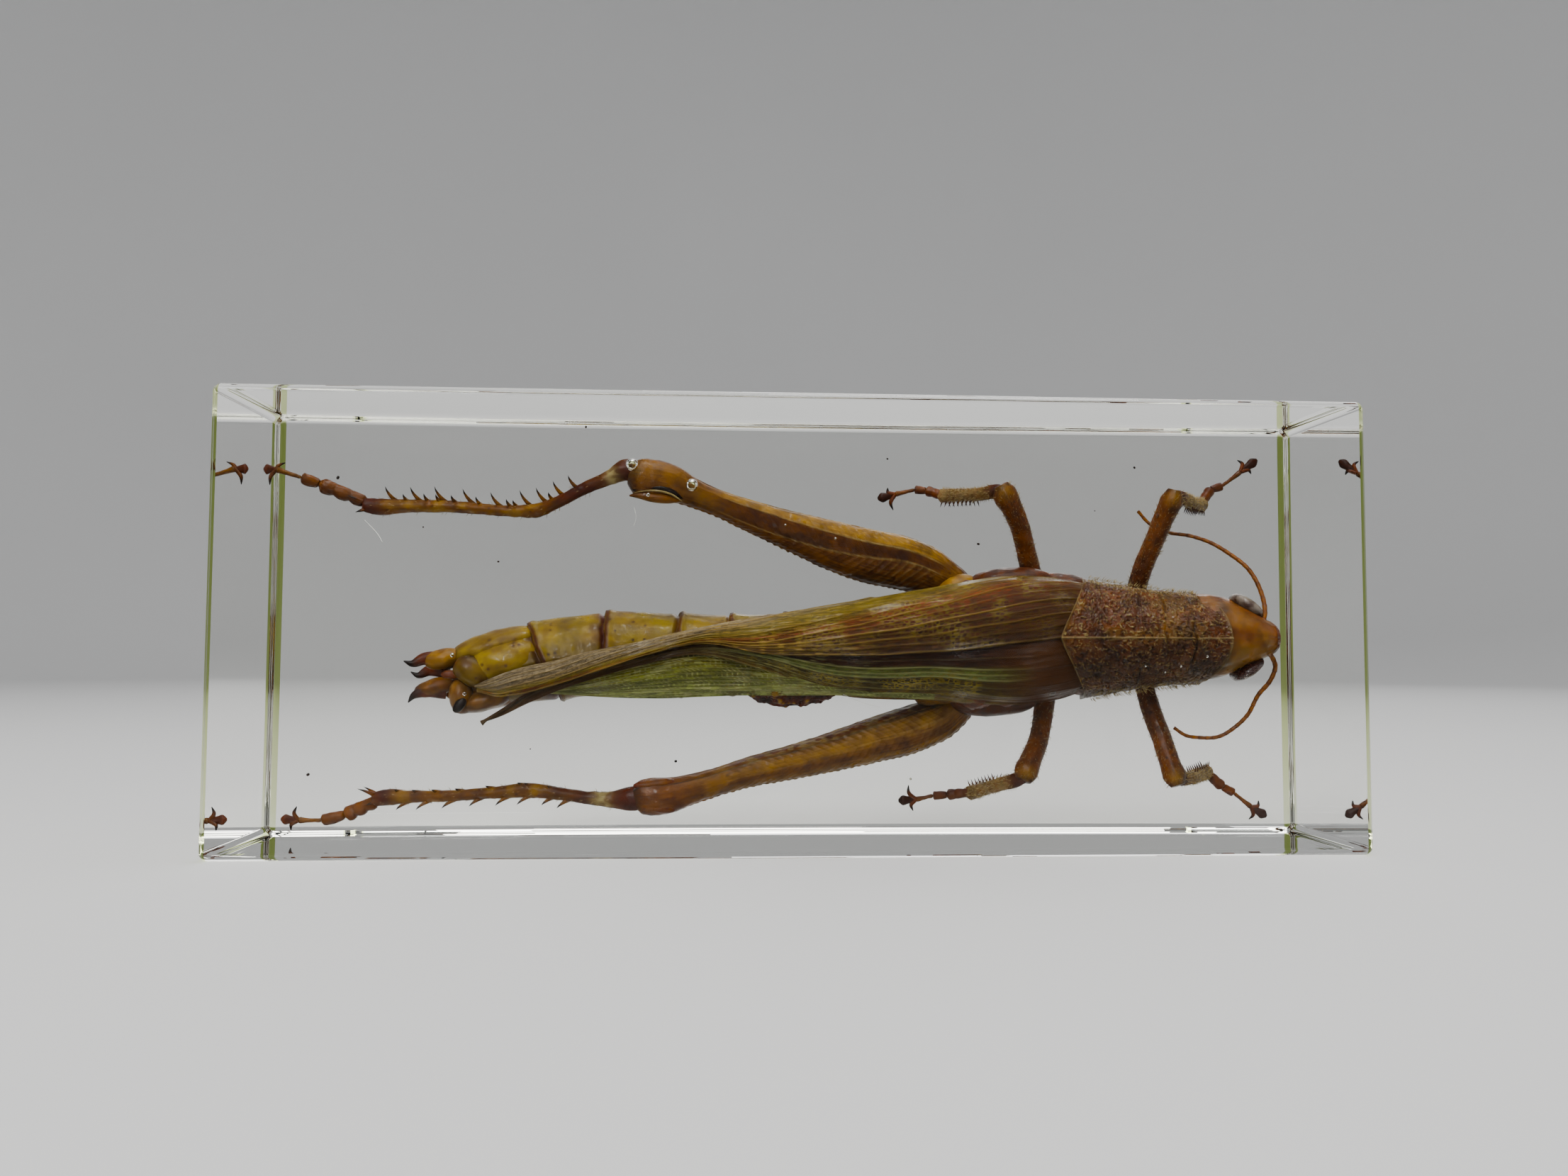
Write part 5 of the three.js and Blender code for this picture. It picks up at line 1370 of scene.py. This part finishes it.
def resin_finish():
    """Clear resin: full transmission with a plain IOR and absorption; lamps reach through to the insect."""
    material, tree, shader = new_finish("clear_cast_resin")
    shader.inputs["Transmission Weight"].default_value = 1.0
    shader.inputs["IOR"].default_value = RESIN_IOR
    shader.inputs["Base Color"].default_value = (1, 1, 1, 1)
    shader.inputs["Specular Tint"].default_value = (0.2, 0.2, 0.2, 1)
    place = add(tree, "ShaderNodeTexCoord").outputs["Object"]
    wear = add(tree, "ShaderNodeTexNoise", {"Vector": place, "Scale": 60.0, "Detail": 4.0})
    tree.links.new(steps(tree, wear.outputs[0], [(0.45, 0.0), (0.75, 0.02)]), shader.inputs["Roughness"])
    polish = add(tree, "ShaderNodeTexNoise", {"Vector": place, "Scale": 28.0, "Detail": 1.0})
    bump = add(tree, "ShaderNodeBump", {"Strength": 0.15, "Distance": 0.0001, "Height": polish.outputs[0]})
    tree.links.new(bump.outputs[0], shader.inputs["Normal"])
    lamp = add(tree, "ShaderNodeLightPath").outputs["Is Shadow Ray"]
    through = add(tree, "ShaderNodeBsdfTransparent", {0: (0.92, 0.92, 0.9, 1)})
    mixed = add(tree, "ShaderNodeMixShader", {0: lamp, 1: shader.outputs[0], 2: through.outputs[0]})
    output = tree.nodes["Material Output"]
    tree.links.new(mixed.outputs[0], output.inputs["Surface"])
    absorb = add(tree, "ShaderNodeVolumeAbsorption", {"Color": RESIN_TINT, "Density": RESIN_DENSITY})
    tree.links.new(absorb.outputs[0], output.inputs["Volume"])
    return material


RESIN = resin_finish()
resin_block = make_piece(
    "resin_block", [rounded_block()] + [bubble(centre, radius) for centre, radius in BUBBLES], [RESIN],
    replaced=("resin_front", "resin_back"))
# the large polished faces are shaded flat, and only the rounded edges and the bubbles smooth
face_areas = np.zeros(len(resin_block.data.polygons))
resin_block.data.polygons.foreach_get("area", face_areas)
resin_block.data.polygons.foreach_set("use_smooth", face_areas < SMALL_FACE**2)


# ================================================================================================
# Specks and lint: dust that fell in before the resin set. Tiny black grains and a few curled fibres,
# scattered through the clear part of the block.
# ================================================================================================

SPECK_PLACES = [  # x, y, z and radius of the ones that stand out
    [-29.6, -4, 28.0, 0.12], [-46.9, -6, 7.4, 0.11], [-21.3, -3, 41.6, 0.1], [34.6, -2, 38.3, 0.1],
    [18.1, -4, 30.2, 0.12], [-12.0, -6, 8.6, 0.08], [-45.0, -5, 36.0, 0.16], [-36.6, -6, 31.2, 0.07],
    [9.0, -3, 38.8, 0.07], [29.4, -7, 33.4, 0.06], [-25.8, -8, 9.9, 0.06], [3.2, -7, 10.9, 0.05],
]
SPECK_BLACK = shell_finish("dust_speck", colour(50, 34, 26), colour(16, 12, 10), specks=0.0)
LINT_WHITE = shell_finish("lint", (0.8, 0.8, 0.76, 1), (0.6, 0.6, 0.57, 1), specks=0.0, patch=300.0)


def specks():
    """Lumpy grains, each a rough little ball."""
    made = []
    for number, (x, y, z, radius) in enumerate(SPECK_PLACES):
        rows, _ = lobe([x, y, z], [radius * 1.3, radius, radius], 40 * number, around=8, along=5)
        made.append(skin(rows))
    return made


def lint():
    """Curled fibres: a smooth curve through a few given points, as thin as a hair."""
    threads = [
        [[-41.6, -9, 31.6, 0.025], [-40.9, -9, 30.9, 0.03], [-40.3, -9, 30.2, 0.03], [-39.9, -9, 29.5, 0.02]],
        [[-16.2, -8, 33.2, 0.02], [-16.0, -8, 32.2, 0.02], [-16.2, -8, 31.4, 0.02]],
        [[4.6, -2, 15.0, 0.02], [6.6, -2, 14.2, 0.02], [8.4, -2, 13.7, 0.02]],
    ]
    made = []
    for stations in threads:
        rows, _, _ = limb_rows(smooth_run(stations, 24), 5)
        made.append(skin(rows, finish=1))
    return made


make_piece("specks_and_lint", specks() + lint(), [SPECK_BLACK, LINT_WHITE])


# ================================================================================================
# The stage: a plain pale floor that curves up into a backdrop all round, soft lamps overhead and to the
# sides, an even pale sky, and the camera.
# ================================================================================================

FLOOR_RADIUS = 0.75
COVE_RADIUS = 0.35
WALL_TOP = 0.75
CAMERA_PLACE = (-7.975, -123.669, 19.315)
CAMERA_YAW = 0.0561
CAMERA_PITCH = 0.0541
CAMERA_ROLL = 0.0042
FOCAL_PIXELS = 1650.0
IMAGE_WIDTH = 2212
SENSOR_WIDTH = 36.0


def stage_material():
    """Matt pale paper, a touch uneven."""
    material, tree, shader = new_finish("backdrop_paper")
    place = add(tree, "ShaderNodeTexCoord").outputs["Object"]
    cloud = add(tree, "ShaderNodeTexNoise", {"Vector": place, "Scale": 3.0, "Detail": 2.0})
    tree.links.new(blend(tree, cloud.outputs[0], (0.64, 0.64, 0.64, 1), (0.68, 0.68, 0.68, 1)),
                   shader.inputs["Base Color"])
    shader.inputs["Roughness"].default_value = 0.75
    return material


def make_floor():
    """Surface of revolution: a flat disc, a quarter-circle cove and a wall, turned round the Z axis."""
    cove = np.linspace(0, np.pi / 2, 20)
    radius = np.concatenate([[0.001, 0.2, 0.5], FLOOR_RADIUS + COVE_RADIUS * np.sin(cove),
                             [FLOOR_RADIUS + COVE_RADIUS]])
    height = np.concatenate([[0, 0, 0], COVE_RADIUS * (1 - np.cos(cove)), [WALL_TOP]])
    angle = 2 * np.pi * np.arange(96) / 96
    rows = np.stack(np.broadcast_arrays(radius[:, None] * np.cos(angle), radius[:, None] * np.sin(angle),
                                        height[:, None]), -1)
    index = np.arange(rows.shape[0] * 96).reshape(-1, 96)
    turned = np.roll(index, -1, axis=1)
    faces = np.stack([index[:-1], index[1:], turned[1:], turned[:-1]], -1).reshape(-1, 4).tolist()
    faces.append(index[0].tolist())
    mesh = bpy.data.meshes.new("floor")
    mesh.from_pydata(rows.reshape(-1, 3).tolist(), [], faces)
    mesh.polygons.foreach_set("use_smooth", np.ones(len(mesh.polygons), bool))
    mesh.materials.append(stage_material())
    floor = bpy.data.objects.new("floor", mesh)
    bpy.context.scene.collection.objects.link(floor)


def soft_lamp(name, place, aim, size, power, tone=(1, 1, 1)):
    """A large square lamp at a place, turned to shine at a point."""
    data = bpy.data.lights.new(name, "AREA")
    data.shape = "RECTANGLE"
    data.size, data.size_y = size
    data.energy = power
    data.color = tone
    lamp = bpy.data.objects.new(name, data)
    bpy.context.scene.collection.objects.link(lamp)
    back = unit(np.array(place, float) - np.array(aim, float))
    right = unit(np.cross([0, 0.01, 1], back))
    up = np.cross(back, right)
    matrix = np.eye(4)
    matrix[:3, 0], matrix[:3, 1], matrix[:3, 2], matrix[:3, 3] = right, up, back, place
    lamp.matrix_world = Matrix(matrix.tolist())


def make_camera():
    """The camera looks along +Y, turned by its yaw, pitch and roll; its lens comes from the focal length."""
    forward = np.array([np.sin(CAMERA_YAW) * np.cos(CAMERA_PITCH), np.cos(CAMERA_YAW) * np.cos(CAMERA_PITCH),
                        np.sin(CAMERA_PITCH)])
    right = unit(np.cross(forward, [0, 0, 1]))
    up = np.cross(right, forward)
    turned_right = right * np.cos(CAMERA_ROLL) + up * np.sin(CAMERA_ROLL)
    turned_up = up * np.cos(CAMERA_ROLL) - right * np.sin(CAMERA_ROLL)
    data = bpy.data.cameras.new("camera")
    data.sensor_width = SENSOR_WIDTH
    data.lens = FOCAL_PIXELS * SENSOR_WIDTH / IMAGE_WIDTH
    data.clip_start = 0.005
    camera = bpy.data.objects.new("camera", data)
    bpy.context.scene.collection.objects.link(camera)
    matrix = np.eye(4)
    matrix[:3, 0], matrix[:3, 1], matrix[:3, 2] = turned_right, turned_up, -forward
    matrix[:3, 3] = np.array(CAMERA_PLACE) * MM
    camera.matrix_world = Matrix(matrix.tolist())
    bpy.context.scene.camera = camera


make_floor()
soft_lamp("top_softbox", (0.05, -0.12, 0.55), (0, 0, 0.02), (0.4, 0.25), 2.5, (1.0, 0.98, 0.95))
soft_lamp("front_softbox", (-0.25, -0.5, 0.42), (0, 0, 0.02), (0.3, 0.3), 3.0, (0.98, 0.99, 1.0))
soft_lamp("rear_softbox", (0.2, 0.5, 0.45), (0, 0, 0.02), (0.5, 0.4), 1.2, (1.0, 1.0, 1.0))
world = bpy.data.worlds.new("studio")
bpy.context.scene.world = world
world.use_nodes = True
world.node_tree.nodes["Background"].inputs["Color"].default_value = (0.84, 0.85, 0.86, 1)
world.node_tree.nodes["Background"].inputs["Strength"].default_value = 0.47
make_camera()
